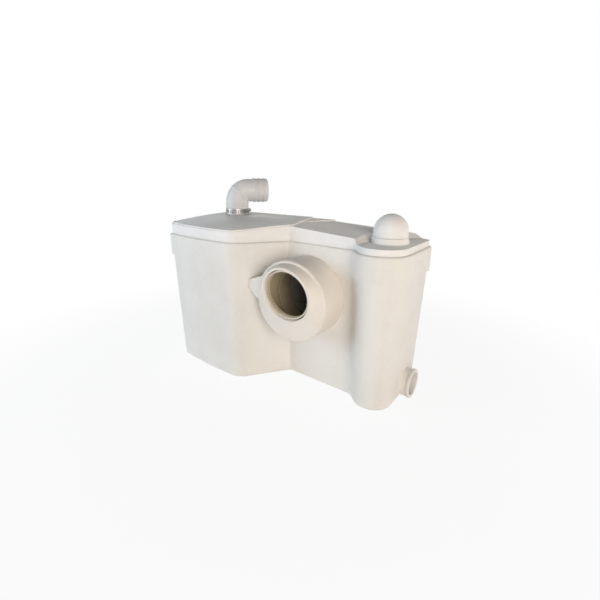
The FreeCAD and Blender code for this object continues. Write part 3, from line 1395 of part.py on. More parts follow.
def make_level_switch():
    """The level switch: bell, membrane, housing, plunger and the micro switch's lever."""
    tube_in = d.bell_radius - d.bell_skin
    cup_head = d.bell_head + d.bell_cup
    cup_in = d.bell_flange - d.bell_skin
    piece(turned([
        (tube_in, d.bell_foot), (d.bell_radius, d.bell_foot), (d.bell_radius, d.bell_head),
        (d.bell_flange, d.bell_head), (d.bell_flange, cup_head), (cup_in, cup_head),
        (cup_in, d.bell_head + d.bell_skin), (tube_in, d.bell_head + d.bell_skin),
    ], bell_x, bell_y), "level_bell")
    membrane_head = cup_head + d.membrane_thick
    piece(cylinder(d.bell_flange, d.membrane_thick, bell_x, bell_y, cup_head), "switch_membrane")
    roof = membrane_head + d.switch_height
    housing_in = d.bell_flange - d.switch_skin
    guide = d.plunger_radius + d.pin_fit
    piece(turned([
        (housing_in, membrane_head), (d.bell_flange, membrane_head), (d.bell_flange, roof),
        (guide, roof), (guide, roof - d.switch_skin), (housing_in, roof - d.switch_skin),
    ], bell_x, bell_y), "switch_housing")
    plate_foot = membrane_head + d.seat_gap
    pin_z = roof + d.lever_rise
    stem_head = pin_z - d.lever_thick / 2 - d.seat_gap
    piece(turned([
        (0, plate_foot), (d.plate_radius, plate_foot), (d.plate_radius, plate_foot + d.plate_thick),
        (d.plunger_radius, plate_foot + d.plate_thick), (d.plunger_radius, stem_head, d.lever_thick),
        (0, stem_head),
    ], bell_x, bell_y), "switch_plunger")
    pin_x = bell_x - d.lever_length
    reach = d.lever_width / 2 + d.seat_gap + d.cheek_thick
    base = block(
        d.carrier_length, reach * 2, d.carrier_height,
        pin_x - d.lever_hub * 2 - d.carrier_length, bell_y - reach, roof)
    parts = [base]
    for side in (-1, 1):
        y = bell_y + side * (reach - d.cheek_thick / 2) - d.cheek_thick / 2
        parts.append(block(
            d.carrier_length, d.cheek_thick, d.lever_rise + d.lever_hub,
            pin_x - d.carrier_length + d.lever_hub, y, roof))
    hole = cylinder(d.lever_pin + d.snug, reach * 2, pin_x, bell_y - reach, pin_z, along="y")
    piece(cut(fuse(*parts), hole), "micro_switch")
    piece(cylinder(d.lever_pin, reach * 2, pin_x, bell_y - reach, pin_z, along="y"), "lever_pin")
    half = d.lever_width / 2
    hub = cylinder(d.lever_hub, d.lever_width, pin_x, bell_y - half, pin_z, along="y")
    bore = cylinder(d.lever_pin + d.pin_fit, d.lever_width, pin_x, bell_y - half, pin_z, along="y")
    leaf = block(
        d.lever_length + d.plunger_radius, d.lever_width, d.lever_thick,
        pin_x, bell_y - half, pin_z - d.lever_thick / 2)
    piece(cut(fuse(hub, leaf), bore), "switch_lever")


def gland_wall():
    """X of the left wall's outer face at the cable gland."""
    return run(0) - wall_out(d.gland_height)


def make_gland():
    """The cable gland in the left wall and its nut inside."""
    outside = gland_wall() - wall_out(d.gland_head)
    y = depth(d.gland_depth)
    inside = outside + d.gland_thread
    flange = outside - d.gland_flange
    end = flange - d.gland_cap
    gland = fuse(
        cylinder(d.gland_radius, inside - outside, outside, y, d.gland_height, along="x"),
        cylinder(d.gland_head, d.gland_flange, flange, y, d.gland_height, along="x"),
        cone(d.gland_radius, d.gland_head - d.pin_fit, d.gland_cap, end, y, d.gland_height,
             along="x"))
    bore = cylinder(d.gland_bore, inside - end, end, y, d.gland_height, along="x")
    piece(cut(gland, bore), "cable_gland")
    nut_x = gland_wall() + d.tank_skin + wall_out(d.gland_head + d.tank_skin) + d.snug
    nut = bind(doc.addObject("Part::Prism", "nut"), Circumradius=d.gland_head,
               Height=d.gland_nut_thick)
    place(nut, nut_x, y, d.gland_height, ALONG["x"])
    hole = cylinder(
        d.gland_radius + d.snug, d.gland_nut_thick, nut_x, y, d.gland_height, along="x")
    piece(cut(nut, hole), "gland_nut")


# Build


make_tank()
make_seal()
make_lid()
make_stub()
make_stub_ring()
make_sleeve()
make_side_flap()
make_pump()
make_basket()
make_impeller()
make_rotor()
make_motor()
make_riser()
make_valve()
make_elbow()
make_clamp()
make_vent()
make_level_switch()
make_gland()
doc.recompute()

# Checks and export

for obj in doc.Objects:
    if "Invalid" in obj.State or "Error" in obj.State:
        raise RuntimeError(f"{obj.Name} failed: {obj.State}")
for obj in pieces:
    if obj.Shape.isNull() or not obj.Shape.isValid():
        raise RuntimeError(f"{obj.Label} has no valid shape")
os.makedirs("parts", exist_ok=True)
for obj in pieces:
    obj.Shape.exportStep(f"parts/{obj.Label}.step")
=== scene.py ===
# %% [markdown]
# # Dressing a sewage lifting unit
# The unit stands behind a closet: a moulded tank with a macerating pump in it, a lift-off lid, a
# rubber sleeve for the closet's outlet and an elbow for the discharge pipe. The solids come from
# the part's own frame, already at their true size and place. This script gives them the soft
# edges, the grain and the light that a photograph shows, and never moves them.

import json
import math

import bpy
from mathutils import Matrix, Vector

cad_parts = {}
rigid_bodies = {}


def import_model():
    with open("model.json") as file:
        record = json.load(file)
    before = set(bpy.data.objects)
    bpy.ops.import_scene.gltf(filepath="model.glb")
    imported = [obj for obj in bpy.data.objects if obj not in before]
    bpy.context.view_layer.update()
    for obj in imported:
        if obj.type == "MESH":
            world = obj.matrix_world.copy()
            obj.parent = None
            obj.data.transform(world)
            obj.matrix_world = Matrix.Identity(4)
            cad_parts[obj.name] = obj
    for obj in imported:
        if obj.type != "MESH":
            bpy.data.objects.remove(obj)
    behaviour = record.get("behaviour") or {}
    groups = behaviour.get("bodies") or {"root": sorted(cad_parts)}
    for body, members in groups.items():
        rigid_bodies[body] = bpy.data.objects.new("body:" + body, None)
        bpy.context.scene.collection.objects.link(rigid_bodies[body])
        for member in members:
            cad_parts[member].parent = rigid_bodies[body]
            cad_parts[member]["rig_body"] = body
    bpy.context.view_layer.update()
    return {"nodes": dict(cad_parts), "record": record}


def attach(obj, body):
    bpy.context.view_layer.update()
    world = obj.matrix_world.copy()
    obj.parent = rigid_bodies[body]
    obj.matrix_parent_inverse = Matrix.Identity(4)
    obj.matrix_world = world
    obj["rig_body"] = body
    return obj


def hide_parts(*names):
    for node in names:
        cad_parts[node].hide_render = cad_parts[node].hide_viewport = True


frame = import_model()

# %% [markdown]
# ## The camera
# The picture was taken from the front right, a little above the lid. A camera could be aimed with
# a constraint, but constraints hide the numbers, so its place and its three turns are written out.
# The turns go in this order: heading about the upright, then tilt, then a small roll about the
# lens. A tilt of 90 degrees looks level, so this camera looks 18 degrees down.

# %% Camera
CAMERA_PLACE = Vector((0.40383, -0.53986, 0.36209))
CAMERA_HEADING = math.radians(35.204)
CAMERA_TILT = math.radians(90 - 18.2206)
CAMERA_ROLL = math.radians(0.571)
CAMERA_LENS = 22.5
CAMERA_NEAR = 0.01


def make_camera():
    """A camera at the photograph's place, with its angle of view."""
    data = bpy.data.cameras.new("camera")
    data.lens = CAMERA_LENS
    data.clip_start = CAMERA_NEAR
    camera = bpy.data.objects.new("camera", data)
    bpy.context.scene.collection.objects.link(camera)
    turn = (Matrix.Rotation(CAMERA_HEADING, 4, "Z") @ Matrix.Rotation(CAMERA_TILT, 4, "X")
            @ Matrix.Rotation(CAMERA_ROLL, 4, "Z"))
    camera.matrix_world = Matrix.Translation(CAMERA_PLACE) @ turn
    bpy.context.scene.camera = camera


make_camera()
bpy.context.scene.view_settings.view_transform = "Standard"
print("camera", [round(v, 3) for v in CAMERA_PLACE])

# %% [markdown]
# ## Shader maths as plain expressions
# A finish mixes patterns with sums and products. Adding each Math node by hand hides the formula,
# so one small class wraps a socket and turns Python's operators into Math nodes. Colours never go
# through it, because a Math node would turn them grey: they go through a Mix node instead. A second
# class adds any other node, from its type, its settings and what goes into its sockets.

# %% Values and nodes
class Value:
    """A number that changes over a surface, with Python's arithmetic."""

    def __init__(self, nodes, socket):
        self.nodes = nodes
        self.socket = socket

    def __add__(self, other):
        return self.nodes.maths("ADD", self, other)

    __radd__ = __add__

    def __sub__(self, other):
        return self.nodes.maths("SUBTRACT", self, other)

    def __rsub__(self, other):
        return self.nodes.maths("SUBTRACT", other, self)

    def __mul__(self, other):
        return self.nodes.maths("MULTIPLY", self, other)

    __rmul__ = __mul__

    def above(self, level, soft):
        """0 under a level and 1 over it, with a soft step between."""
        return self.nodes.node(
            "ShaderNodeMapRange", {"interpolation_type": "SMOOTHSTEP"},
            {"Value": self, "From Min": level - soft, "From Max": level + soft})


class Nodes:
    """A tree of nodes while it is written."""

    def __init__(self, tree):
        self.tree = tree

    def node(self, kind, settings=None, inputs=None, out=0):
        """Adds one node: its settings first, then what goes into its sockets."""
        node = self.tree.nodes.new(kind)
        for key, setting in (settings or {}).items():
            setattr(node, key, setting)
        for key, source in (inputs or {}).items():
            self.join(node.inputs[key], source)
        return Value(self, node.outputs[out])

    def join(self, socket, source):
        """Links a value to a socket, or writes a plain number or colour on it."""
        if isinstance(source, Value):
            self.tree.links.new(source.socket, socket)
        else:
            socket.default_value = source

    def several(self, kind, outputs, inputs=None):
        """Adds one node and gives several of its outputs."""
        node = self.node(kind, None, inputs).socket.node
        return [Value(self, node.outputs[name]) for name in outputs]

    def maths(self, operation, *terms):
        """A Math node on numbers or values."""
        return self.node("ShaderNodeMath", {"operation": operation}, dict(enumerate(terms)))


print("node maths ready")

# %% [markdown]
# ## Writing a finish
# Every finish is one Principled shader with a few patterns. The patterns read Object coordinates,
# which are metres on the real object, so a grain keeps its true size on a large piece and on a
# small one. A Mix node has sockets for numbers, vectors and colours in one row, so the places of
# its colour sockets get names.

# %% Finishes
MIX_MASK, MIX_FIRST, MIX_SECOND, MIX_COLOUR = 0, 6, 7, 2


class Finish(Nodes):
    """A material while it is written: its nodes and its Principled shader."""

    def __init__(self, name, roughness, metallic=0.0, shine=0.5):
        self.material = bpy.data.materials.new(name)
        self.material.use_nodes = True
        super().__init__(self.material.node_tree)
        self.shader = self.tree.nodes["Principled BSDF"]
        self.set("Roughness", roughness)
        self.set("Metallic", metallic)
        self.set("Specular IOR Level", shine)
        self.place = self.node("ShaderNodeTexCoord", out="Object")

    def set(self, name, source):
        """Sets one socket of the shader."""
        self.join(self.shader.inputs[name], source)

    def axes(self):
        """The place on the surface as three values, in metres."""
        return self.several("ShaderNodeSeparateXYZ", "XYZ", {"Vector": self.place})

    def noise(self, scale, detail=3.0, stretch=None):
        """A cloudy pattern, scale cells to the metre, from about 0 to 1."""
        place = self.place
        if stretch:
            place = self.node("ShaderNodeMapping", None, {"Vector": place, "Scale": stretch})
        return self.node("ShaderNodeTexNoise", None,
                         {"Vector": place, "Scale": scale, "Detail": detail})

    def mix(self, mask, first, second):
        """A colour between two colours."""
        return self.node("ShaderNodeMix", {"data_type": "RGBA"},
                         {MIX_MASK: mask, MIX_FIRST: first, MIX_SECOND: second}, out=MIX_COLOUR)

    def bump(self, height, depth):
        """Relief: height is a pattern from 0 to 1, and depth is its full depth in metres."""
        self.set("Normal", self.node(
            "ShaderNodeBump", None, {"Height": height, "Distance": depth}, out="Normal"))


def rgb(red, green, blue):
    """A colour from screen values of 0 to 255, as the linear colour that a shader wants."""
    def linear(value):
        level = value / 255
        return level / 12.92 if level <= 0.04045 else ((level + 0.055) / 1.055) ** 2.4
    return (linear(red), linear(green), linear(blue), 1.0)


print("finishes ready")

# %% [markdown]
# ## Moulded plastic and pale rubber
# Tank, lid and vent are injection moulded in off-white plastic, the sleeve and the elbow in pale
# rubber. A mould leaves the same three things on both: a fine spark-eroded grain, a slow waviness
# where the wall sank as it cooled, and a slightly uneven gloss. All three are noise at very
# different scales, so one function makes every moulded finish. Inside the sleeve's mouth and the
# tank's neck, a brownish colour is painted shade, for the shade deep in the bores. The bores are
# cylinders, so the distance from an axis tells inside from outside. The number after a finish's two
# colours is its roughness.

# %% Moulded finishes
GRAIN_CELLS = 1500.0
GRAIN_DEPTH = 0.00003
WAVE_CELLS = 9.0
WAVE_DEPTH = 0.0006
CLOUD_CELLS = 14.0
CLOUD_SHARE = 0.75
FLECK_CELLS = 160.0
MOULD_SHINE = 0.2

MOUTH_CENTRE = Vector((0.0609, -0.0955, 0.183))
MOUTH_LEAN = math.radians(8)
MOUTH_BORE = 0.0403
NECK_CENTRE = Vector((0.0609, -0.0450, 0.170))
NECK_BORE = 0.0535
BORE_SOFT = 0.00003
WEB_BACK = -0.080
WEB_SOFT = 0.003
NECK_BACK = 0.005
NECK_SOFT = 0.012


def mouth_shade_mask(finish):
    """Where shade is painted: 1 in the sleeve's leaning mouth and in the neck behind it, and 0
    elsewhere.
    """
    x, y, z = finish.axes()

    def outside(centre, lean, bore):
        across = x - centre.x
        up = z - centre.z - (y - centre.y) * math.tan(lean)
        return (across * across + up * up).above(bore ** 2, BORE_SOFT)

    behind_web = y.above(WEB_BACK, WEB_SOFT)
    mouth = (1.0 - outside(MOUTH_CENTRE, MOUTH_LEAN, MOUTH_BORE)) * (1.0 - behind_web)
    neck = (1.0 - outside(NECK_CENTRE, 0.0, NECK_BORE)) * behind_web
    return mouth + neck * (1.0 - y.above(NECK_BACK, NECK_SOFT))


def moulded(name, colour, aged, roughness, uneven=0.07, grain=1.0, inside=None):
    """A moulded skin with grain, waviness and uneven gloss, and painted shade in the bores when
    inside is given.
    """
    finish = Finish(name, roughness, shine=MOULD_SHINE)
    cloud = finish.noise(CLOUD_CELLS, detail=4.0)
    fleck = finish.noise(FLECK_CELLS, detail=2.0)
    mask = (cloud * CLOUD_SHARE + fleck * (1 - CLOUD_SHARE)).above(level=0.52, soft=0.16)
    skin = finish.mix(mask, colour, aged)
    if inside:
        # The inside colour is painted shade in the mouth and the neck.
        skin = finish.mix(mouth_shade_mask(finish), skin, inside)
    finish.set("Base Color", skin)
    finish.set("Roughness", roughness - uneven / 2 + cloud * uneven)
    spark = finish.noise(GRAIN_CELLS, detail=2.0)
    wave = finish.noise(WAVE_CELLS, detail=1.0)
    finish.bump(spark * (GRAIN_DEPTH * grain / WAVE_DEPTH) + wave, WAVE_DEPTH)
    return finish.material


# The inside colours of the tank and the sleeve are painted shade for the mouth and the neck.
FINISHES = {
    "tank": moulded("tank_plastic", rgb(236, 232, 226), rgb(230, 226, 219), 0.40,
                    inside=rgb(150, 138, 116)),
    "lid": moulded("lid_plastic", rgb(243, 240, 236), rgb(237, 234, 230), 0.45),
    "elbow": moulded("elbow_rubber", rgb(226, 225, 224), rgb(218, 217, 215), 0.38, grain=1.6),
    "sleeve": moulded("sleeve_rubber", rgb(238, 231, 221), rgb(232, 224, 212), 0.46,
                      uneven=0.1, grain=2.0, inside=rgb(182, 170, 144)),
    "gland": moulded("gland_plastic", rgb(222, 221, 217), rgb(212, 211, 206), 0.4),
    "basket": moulded("basket_plastic", rgb(224, 222, 214), rgb(212, 208, 198), 0.42,
                      uneven=0.1),
    "switch": moulded("switch_plastic", rgb(214, 213, 208), rgb(203, 201, 195), 0.4),
    "capacitor": moulded("capacitor_case", rgb(228, 228, 224), rgb(219, 218, 213), 0.28),
    "pump": moulded("pump_plastic", rgb(45, 46, 49), rgb(57, 58, 60), 0.42,
                    uneven=0.12, grain=2.0),
}
print(f"{len(FINISHES)} moulded finishes")

# %% [markdown]
# ## Black rubber, metal and carbon
# The seals are a dull black rubber with a bloom of dust. The clamp and the screws are stainless
# steel, brushed along the strip, which is a noise pattern stretched in one direction. The motor is
# cast aluminium, whose skin is pebbled. The stator is a stack of thin sheets, so its bands lie one
# above the other. The vent's filter is carbon foam, whose open cells a Voronoi pattern draws.

# %% Black rubber, metal and carbon finishes
DUST_CELLS = 70.0
DUST_DULL = 0.25
RUBBER_CELLS = 900.0
RUBBER_DEPTH = 0.00004
SMUDGE_CELLS = 60.0
SMUDGE_COLOUR = rgb(176, 173, 169)
SMUDGE_DULL = 0.06
BRUSH_DEPTH = 0.00002
BRUSH_DULL = 0.16
STAIN_CELLS = 24.0
PEBBLE_CELLS = 420.0
PEBBLE_DEPTH = 0.00025
PEBBLE_DULL = 0.22
SHEETS_PER_METRE = 1000.0
SHEET_DEPTH = 0.0001
VARNISH_CELLS = 90.0
VARNISH_DULL = 0.15
FOAM_CELLS = 700.0
FOAM_DEPTH = 0.0006


def rubber(name, colour, bloom):
    """Black rubber with a pale bloom."""
    finish = Finish(name, roughness=0.6)
    dust = finish.noise(DUST_CELLS, detail=5.0)
    finish.set("Base Color", finish.mix(dust.above(level=0.62, soft=0.2), colour, bloom))
    finish.set("Roughness", 0.5 + dust * DUST_DULL)
    finish.bump(finish.noise(RUBBER_CELLS), RUBBER_DEPTH)
    return finish.material


def brushed(name, colour, stretch, roughness):
    """Steel with fine brush lines along the stretched direction."""
    finish = Finish(name, roughness, metallic=1.0)
    lines = finish.noise(1.0, detail=4.0, stretch=stretch)
    smudge = finish.noise(SMUDGE_CELLS)
    smudged = smudge.above(level=0.55, soft=0.25)
    finish.set("Base Color", finish.mix(smudged, colour, SMUDGE_COLOUR))
    finish.set("Roughness", roughness + lines * BRUSH_DULL + smudge * SMUDGE_DULL)
    finish.bump(lines, BRUSH_DEPTH)
    return finish.material


def cast_metal(name, colour, stained):
    """Cast aluminium with a pebbled skin."""
    finish = Finish(name, roughness=0.42, metallic=0.85)
    pebble = finish.noise(PEBBLE_CELLS, detail=4.0)
    stain = finish.noise(STAIN_CELLS, detail=5.0)
    finish.set("Base Color", finish.mix(stain.above(level=0.55, soft=0.2), colour, stained))
    finish.set("Roughness", 0.34 + pebble * PEBBLE_DULL)
    finish.bump(pebble, PEBBLE_DEPTH)
    return finish.material


def laminated(name, colour, varnished):
    """A stack of dark varnished sheets."""
    finish = Finish(name, roughness=0.45, metallic=0.5)
    height = finish.axes()[2]
    sheet = finish.maths("SINE", height * (SHEETS_PER_METRE * 2 * math.pi))
    varnish = finish.noise(VARNISH_CELLS)
    finish.set("Base Color", finish.mix(varnish, colour, varnished))
    finish.set("Roughness", 0.38 + varnish * VARNISH_DULL)
    finish.bump(sheet * 0.5 + 0.5, SHEET_DEPTH)
    return finish.material


def carbon_foam(name, colour, edges):
    """Open black foam: cells with thin walls."""
    finish = Finish(name, roughness=0.85)
    cell = finish.node("ShaderNodeTexVoronoi", {"feature": "F1"},
                       {"Vector": finish.place, "Scale": FOAM_CELLS}, out="Distance")
    finish.set("Base Color", finish.mix(cell.above(level=0.35, soft=0.2), colour, edges))
    finish.bump(cell, FOAM_DEPTH)
    return finish.material


STRIP_LINES = (60.0, 60.0, 2600.0)
LATHE_LINES = (220.0, 220.0, 2200.0)

FINISHES["seal"] = rubber("seal_rubber", rgb(38, 38, 39), rgb(70, 69, 67))
FINISHES["clamp"] = brushed("clamp_steel", rgb(160, 158, 156), STRIP_LINES, 0.30)
# The slots' dark colour is painted shade for the holes in the band.
FINISHES["clamp_slot_shade"] = brushed("clamp_slot_painted_shade", rgb(52, 51, 50), STRIP_LINES, 0.45)
FINISHES["steel"] = brushed("turned_steel", rgb(190, 190, 191), LATHE_LINES, 0.2)
FINISHES["motor"] = cast_metal("motor_casting", rgb(186, 188, 190), rgb(163, 164, 166))
FINISHES["stator"] = laminated("stator_sheets", rgb(120, 108, 96), rgb(96, 84, 74))
FINISHES["filter"] = carbon_foam("filter_foam", rgb(30, 30, 31), rgb(68, 67, 66))
print(f"{len(FINISHES)} finishes in all")

# %% [markdown]
# ## Working on a copy
# The frame's solids come in as loose triangles, which shade as flat facets and can't be bevelled.
# A copy is welded, its flat faces are joined into whole ones, and then a bevel rounds every sharp
# edge by a moulding's small radius. The solid stays in the frame, hidden behind its finished copy.
# Operators act on everything that is selected, so each helper selects its own object first.

# %% Helpers for modelling
WELD = 0.00001
FLAT_ANGLE = math.radians(0.4)
SMOOTH_ANGLE = math.radians(32)
BEVEL_STEPS = 2
SLOT_OF = {part["node"]: part["material_slot"] for part in frame["record"]["subparts"]}


def only(obj):
    """Selects one object alone and makes it active."""
    bpy.ops.object.select_all(action="DESELECT")
    obj.select_set(True)
    bpy.context.view_layer.objects.active = obj


def settle(obj):
    """Bakes the object's own place and turn into its mesh."""
    only(obj)
    bpy.ops.object.transform_apply(location=True, rotation=True, scale=True)


def edit(obj):
    """Opens edit mode on one object, with its whole mesh selected."""
    only(obj)
    bpy.ops.object.mode_set(mode="EDIT")
    bpy.ops.mesh.select_all(action="SELECT")


def bevel(obj, width, **settings):
    """Rounds an object's edges with a Bevel modifier and applies it."""
    only(obj)
    modifier = obj.modifiers.new("bevel", "BEVEL")
    modifier.width = width
    modifier.segments = BEVEL_STEPS
    for key, setting in settings.items():
        setattr(modifier, key, setting)
    bpy.ops.object.modifier_apply(modifier=modifier.name)


def smooth(obj):
    """Smooth shading, with a crease wherever two faces meet sharply."""
    only(obj)
    bpy.ops.object.shade_smooth_by_angle(angle=SMOOTH_ANGLE)


def paint(obj, slot, finish=None):
    """Gives an object the finish of its slot, or another one."""
    obj.data.materials.clear()
    obj.data.materials.append(FINISHES[finish or slot])


def welded_copy(node, name):
    """A welded copy of a solid's mesh, with its flat faces whole again."""
    obj = bpy.data.objects.new(name, frame["nodes"][node].data.copy())
    bpy.context.scene.collection.objects.link(obj)
    edit(obj)
    bpy.ops.mesh.remove_doubles(threshold=WELD)
    bpy.ops.mesh.dissolve_limited(angle_limit=FLAT_ANGLE)
    bpy.ops.object.mode_set(mode="OBJECT")
    return obj


print("slots:", sorted(set(SLOT_OF.values())))

# %% [markdown]
# ## Dressing the moulded shells
# The tank, the lid and the other mouldings already have their true shape, so they aren't modelled
# again. What a solid lacks is the small radius that every moulded edge has, and which catches a
# thin line of light. A Bevel modifier with an angle limit adds it only where faces meet sharply.
# The number beside each name is that radius in metres: thick castings have more of it, thin pipes
# less.

# %% Dress the shells
SHELLS = {
    "tank": ("tank_shell", 0.0006),
    "lid": ("lid_shell", 0.0005),
    "outlet_stub": ("outlet_tube", 0.0004),
    "inlet_sleeve": ("sleeve_skin", 0.0006),
    "discharge_elbow": ("elbow_skin", 0.0003),
    "vent_base": ("vent_foot", 0.0005),
    "vent_cap": ("vent_dome", 0.0005),
    "cable_gland": ("gland_body", 0.0003),
    "motor_housing": ("motor_case", 0.0008),
    "motor_cover": ("motor_lid", 0.0008),
    "basket": ("basket_cage", 0.0003),
    "volute": ("volute_case", 0.0006),
    "discharge_riser": ("riser_pipe", 0.0004),
    "valve_housing": ("valve_case", 0.0004),
    "level_bell": ("bell_tube", 0.0004),
    "switch_housing": ("switch_case", 0.0004),
    "capacitor": ("capacitor_can", 0.0005),
    "impeller": ("impeller_wheel", 0.0003),
}


def dress(node, name, radius):
    """A bevelled, smooth copy that stands for a solid."""
    obj = welded_copy(node, name)
    bevel(obj, radius, limit_method="ANGLE", angle_limit=SMOOTH_ANGLE)
    smooth(obj)
    paint(obj, SLOT_OF[node])
    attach(obj, frame["nodes"][node]["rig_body"])
    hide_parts(node)
    return obj


for node, (name, radius) in SHELLS.items():
    shell = dress(node, name, radius)
    print(f"{name}: {len(shell.data.polygons)} faces")

# %% [markdown]
# ## Beads spun round the pipes
# The elbow is a rubber moulding: a bead marks where the two halves of its mould met at the corner,
# and two wide rings stop the clamp from slipping up. A torus could stand for each, but its section
# is always round. Here a circle is squashed to the section, moved out to the pipe's skin and spun.
# A bead has two measures: its width along the pipe, and how far it stands out.

# %% Elbow beads
RING_CORNERS = 16
RING_STEPS = 96


def primitive(name, add, **settings):
    """Adds one of Blender's primitives with nothing else selected, and names it."""
    bpy.ops.object.select_all(action="DESELECT")
    add(**settings)
    bpy.context.object.name = name
    return bpy.context.object


def spin(steps, **settings):
    """Spins the mesh in edit mode once round the upright, and welds where it closes."""
    bpy.ops.mesh.spin(
        steps=steps, angle=2 * math.pi, center=(0, 0, 0), axis=(0, 0, 1), **settings)
    bpy.ops.mesh.select_all(action="SELECT")
    bpy.ops.mesh.remove_doubles(threshold=WELD)


def ring(name, slot, body, radius, width, height, place, turn=(0.0, 0.0, 0.0)):
    """A bead on a round skin: a circle squashed to its section, moved out and spun."""
    obj = primitive(name, bpy.ops.mesh.primitive_circle_add, vertices=RING_CORNERS, radius=1.0,
                    rotation=(math.pi / 2, 0, 0))
    settle(obj)
    edit(obj)
    bpy.ops.transform.resize(value=(height, 1.0, width / 2), center_override=(0, 0, 0))
    bpy.ops.transform.translate(value=(radius, 0, 0))
    spin(RING_STEPS)
    bpy.ops.mesh.normals_make_consistent(inside=False)
    bpy.ops.object.mode_set(mode="OBJECT")
    obj.rotation_euler = turn
    obj.location = place
    settle(obj)
    smooth(obj)
    paint(obj, slot)
    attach(obj, body)


PIPE_AXIS = Vector((-0.1705, 0.043, 0.0))
PIPE_RADIUS = 0.02258
ARM_TURN = math.radians(52)
ARM_HEIGHT = 0.334
BEND_RADIUS = 0.024
MITRE_TILT = math.radians(45)
MITRE_BEAD = (0.0030, 0.0011)
PIPE_RING = (0.0044, 0.0010)
PIPE_RING_LEVELS = (0.3012, 0.3066)

arm_way = Vector((math.cos(ARM_TURN), math.sin(ARM_TURN), 0.0))
corner_inset = BEND_RADIUS * (1 - math.sqrt(0.5))
corner = PIPE_AXIS + arm_way * corner_inset
corner.z = ARM_HEIGHT - corner_inset
ring("elbow_bead", "elbow", "elbow", PIPE_RADIUS, *MITRE_BEAD, corner,
     (0.0, MITRE_TILT, ARM_TURN))
for number, level in enumerate(PIPE_RING_LEVELS):
    ring(f"elbow_ring_{number + 1}", "elbow", "elbow", PIPE_RADIUS, *PIPE_RING,
         PIPE_AXIS + Vector((0, 0, level)))
print("bead at", [round(v, 4) for v in corner])

# %% [markdown]
# ## The clamp's slots
# The worm of a hose clamp drives a band with slanting slots all round. They are small holes with
# shade in them, so a thin plate just proud of the band, in a dark steel colour that is painted
# shade, reads as a slot. One plate is shaped, then spun with copies, which sets the rest round the
# band at even steps.

# %% Clamp slots
SLOT_COUNT = 34
SLOT_SIZE = (0.0004, 0.0020, 0.0068)
SLOT_LEAN = math.radians(10)
SLOT_ROUND = 0.00018
SLOT_SUNK = 0.0001
BAND_RADIUS = 0.02353
BAND_HEIGHT = 0.293

# Dark plates, whose colour is painted shade, stand in for the slots.
slots = primitive("clamp_slot_shade", bpy.ops.mesh.primitive_cube_add, size=1.0)
slots.scale = SLOT_SIZE
slots.rotation_euler = (SLOT_LEAN, 0.0, 0.0)
settle(slots)
bevel(slots, SLOT_ROUND)
edit(slots)
bpy.ops.transform.translate(value=(BAND_RADIUS - SLOT_SUNK, 0, BAND_HEIGHT))
spin(SLOT_COUNT, dupli=True)
bpy.ops.object.mode_set(mode="OBJECT")
slots.location = PIPE_AXIS
settle(slots)
smooth(slots)
paint(slots, "clamp", "clamp_slot_shade")
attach(slots, "elbow")
print(len(slots.data.polygons), "faces in the slots")

# %% [markdown]
# ## The edges of the raised panel
# A pale bead runs round the raised panel of the lid. Its path bends in every direction, so it
# isn't drawn again: the panel's edges are picked on a copy of the lid. An edge is one of them where
# it folds sharply from a level face to an upright one, where the step under it is low, and where it
# lies to the left of the crease.

# %% Panel edges
STEP_HEIGHT = 0.008
FOLD_ANGLE = math.radians(50)
PANEL_FLOOR = 0.265
PANEL_RIGHT = 0.0145
PANEL_LEAN = 0.247

lid_copy = welded_copy("lid", "panel_edges")
mesh = lid_copy.data
faces_of = {edge.key: [] for edge in mesh.edges}
for face in mesh.polygons:
    for key in face.edge_keys:
        faces_of[key].append(face)


def on_panel_edge(edge):
    """Whether an edge is where the panel's top folds down into its low step."""
    ends = [mesh.vertices[i].co for i in edge.vertices]
    sides = faces_of[edge.key]
    if len(sides) != 2 or min(end.z for end in ends) < PANEL_FLOOR:
        return False
    top, side = sorted(sides, key=lambda face: -face.normal.z)
    levels = [mesh.vertices[i].co.z for i in side.vertices]
    folds = top.normal.angle(side.normal) > FOLD_ANGLE and top.normal.z > math.cos(FOLD_ANGLE)
    below = side.center.z < (ends[0].z + ends[1].z) / 2
    low = max(levels) - min(levels) < STEP_HEIGHT
    left = all(end.x < PANEL_RIGHT - PANEL_LEAN * end.y for end in ends)
    return folds and below and low and left


only(lid_copy)
bpy.ops.object.mode_set(mode="EDIT")
bpy.ops.mesh.select_mode(type="EDGE")
bpy.ops.mesh.select_all(action="DESELECT")
bpy.ops.object.mode_set(mode="OBJECT")
for edge in mesh.edges:
    edge.select = on_panel_edge(edge)
print(sum(edge.select for edge in mesh.edges), "edges round the panel")

# %% [markdown]
# ## The bead round the raised panel
# The picked edges are doubled and taken off the copy as bare wires, and the copy is no longer
# needed. A wire has no thickness. Turned into a curve, it can be given a round section, and turned
# back into a mesh it is the bead.

# %% Panel bead
BEAD_RADIUS = 0.0007
BEAD_ROUNDNESS = 2

bpy.ops.object.mode_set(mode="EDIT")
bpy.ops.mesh.duplicate()
bpy.ops.mesh.separate(type="SELECTED")
bpy.ops.object.mode_set(mode="OBJECT")
bead = next(obj for obj in bpy.context.selected_objects if obj is not lid_copy)
bpy.data.objects.remove(lid_copy)
bead.name = "panel_bead"
only(bead)
bpy.ops.object.convert(target="CURVE")
bead = bpy.context.object
bead.data.bevel_depth = BEAD_RADIUS
bead.data.bevel_resolution = BEAD_ROUNDNESS
bead.data.use_fill_caps = True
bpy.ops.object.convert(target="MESH")
bead = bpy.context.object
smooth(bead)
paint(bead, "lid")
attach(bead, "lid")
print(len(bead.data.polygons), "faces in the bead, from",
      [round(v, 3) for v in bead.bound_box[0]], "to", [round(v, 3) for v in bead.bound_box[6]])

# %% [markdown]
# ## Seam and skirt of the vent
# The cap is moulded in two halves, and a faint seam goes round it. At its foot a small skirt sheds
# drips past the joint. Both are beads on a round skin, so the same spin makes them. The seam lies
# on the dome, whose radius at that height comes from the circle that the dome is turned from.

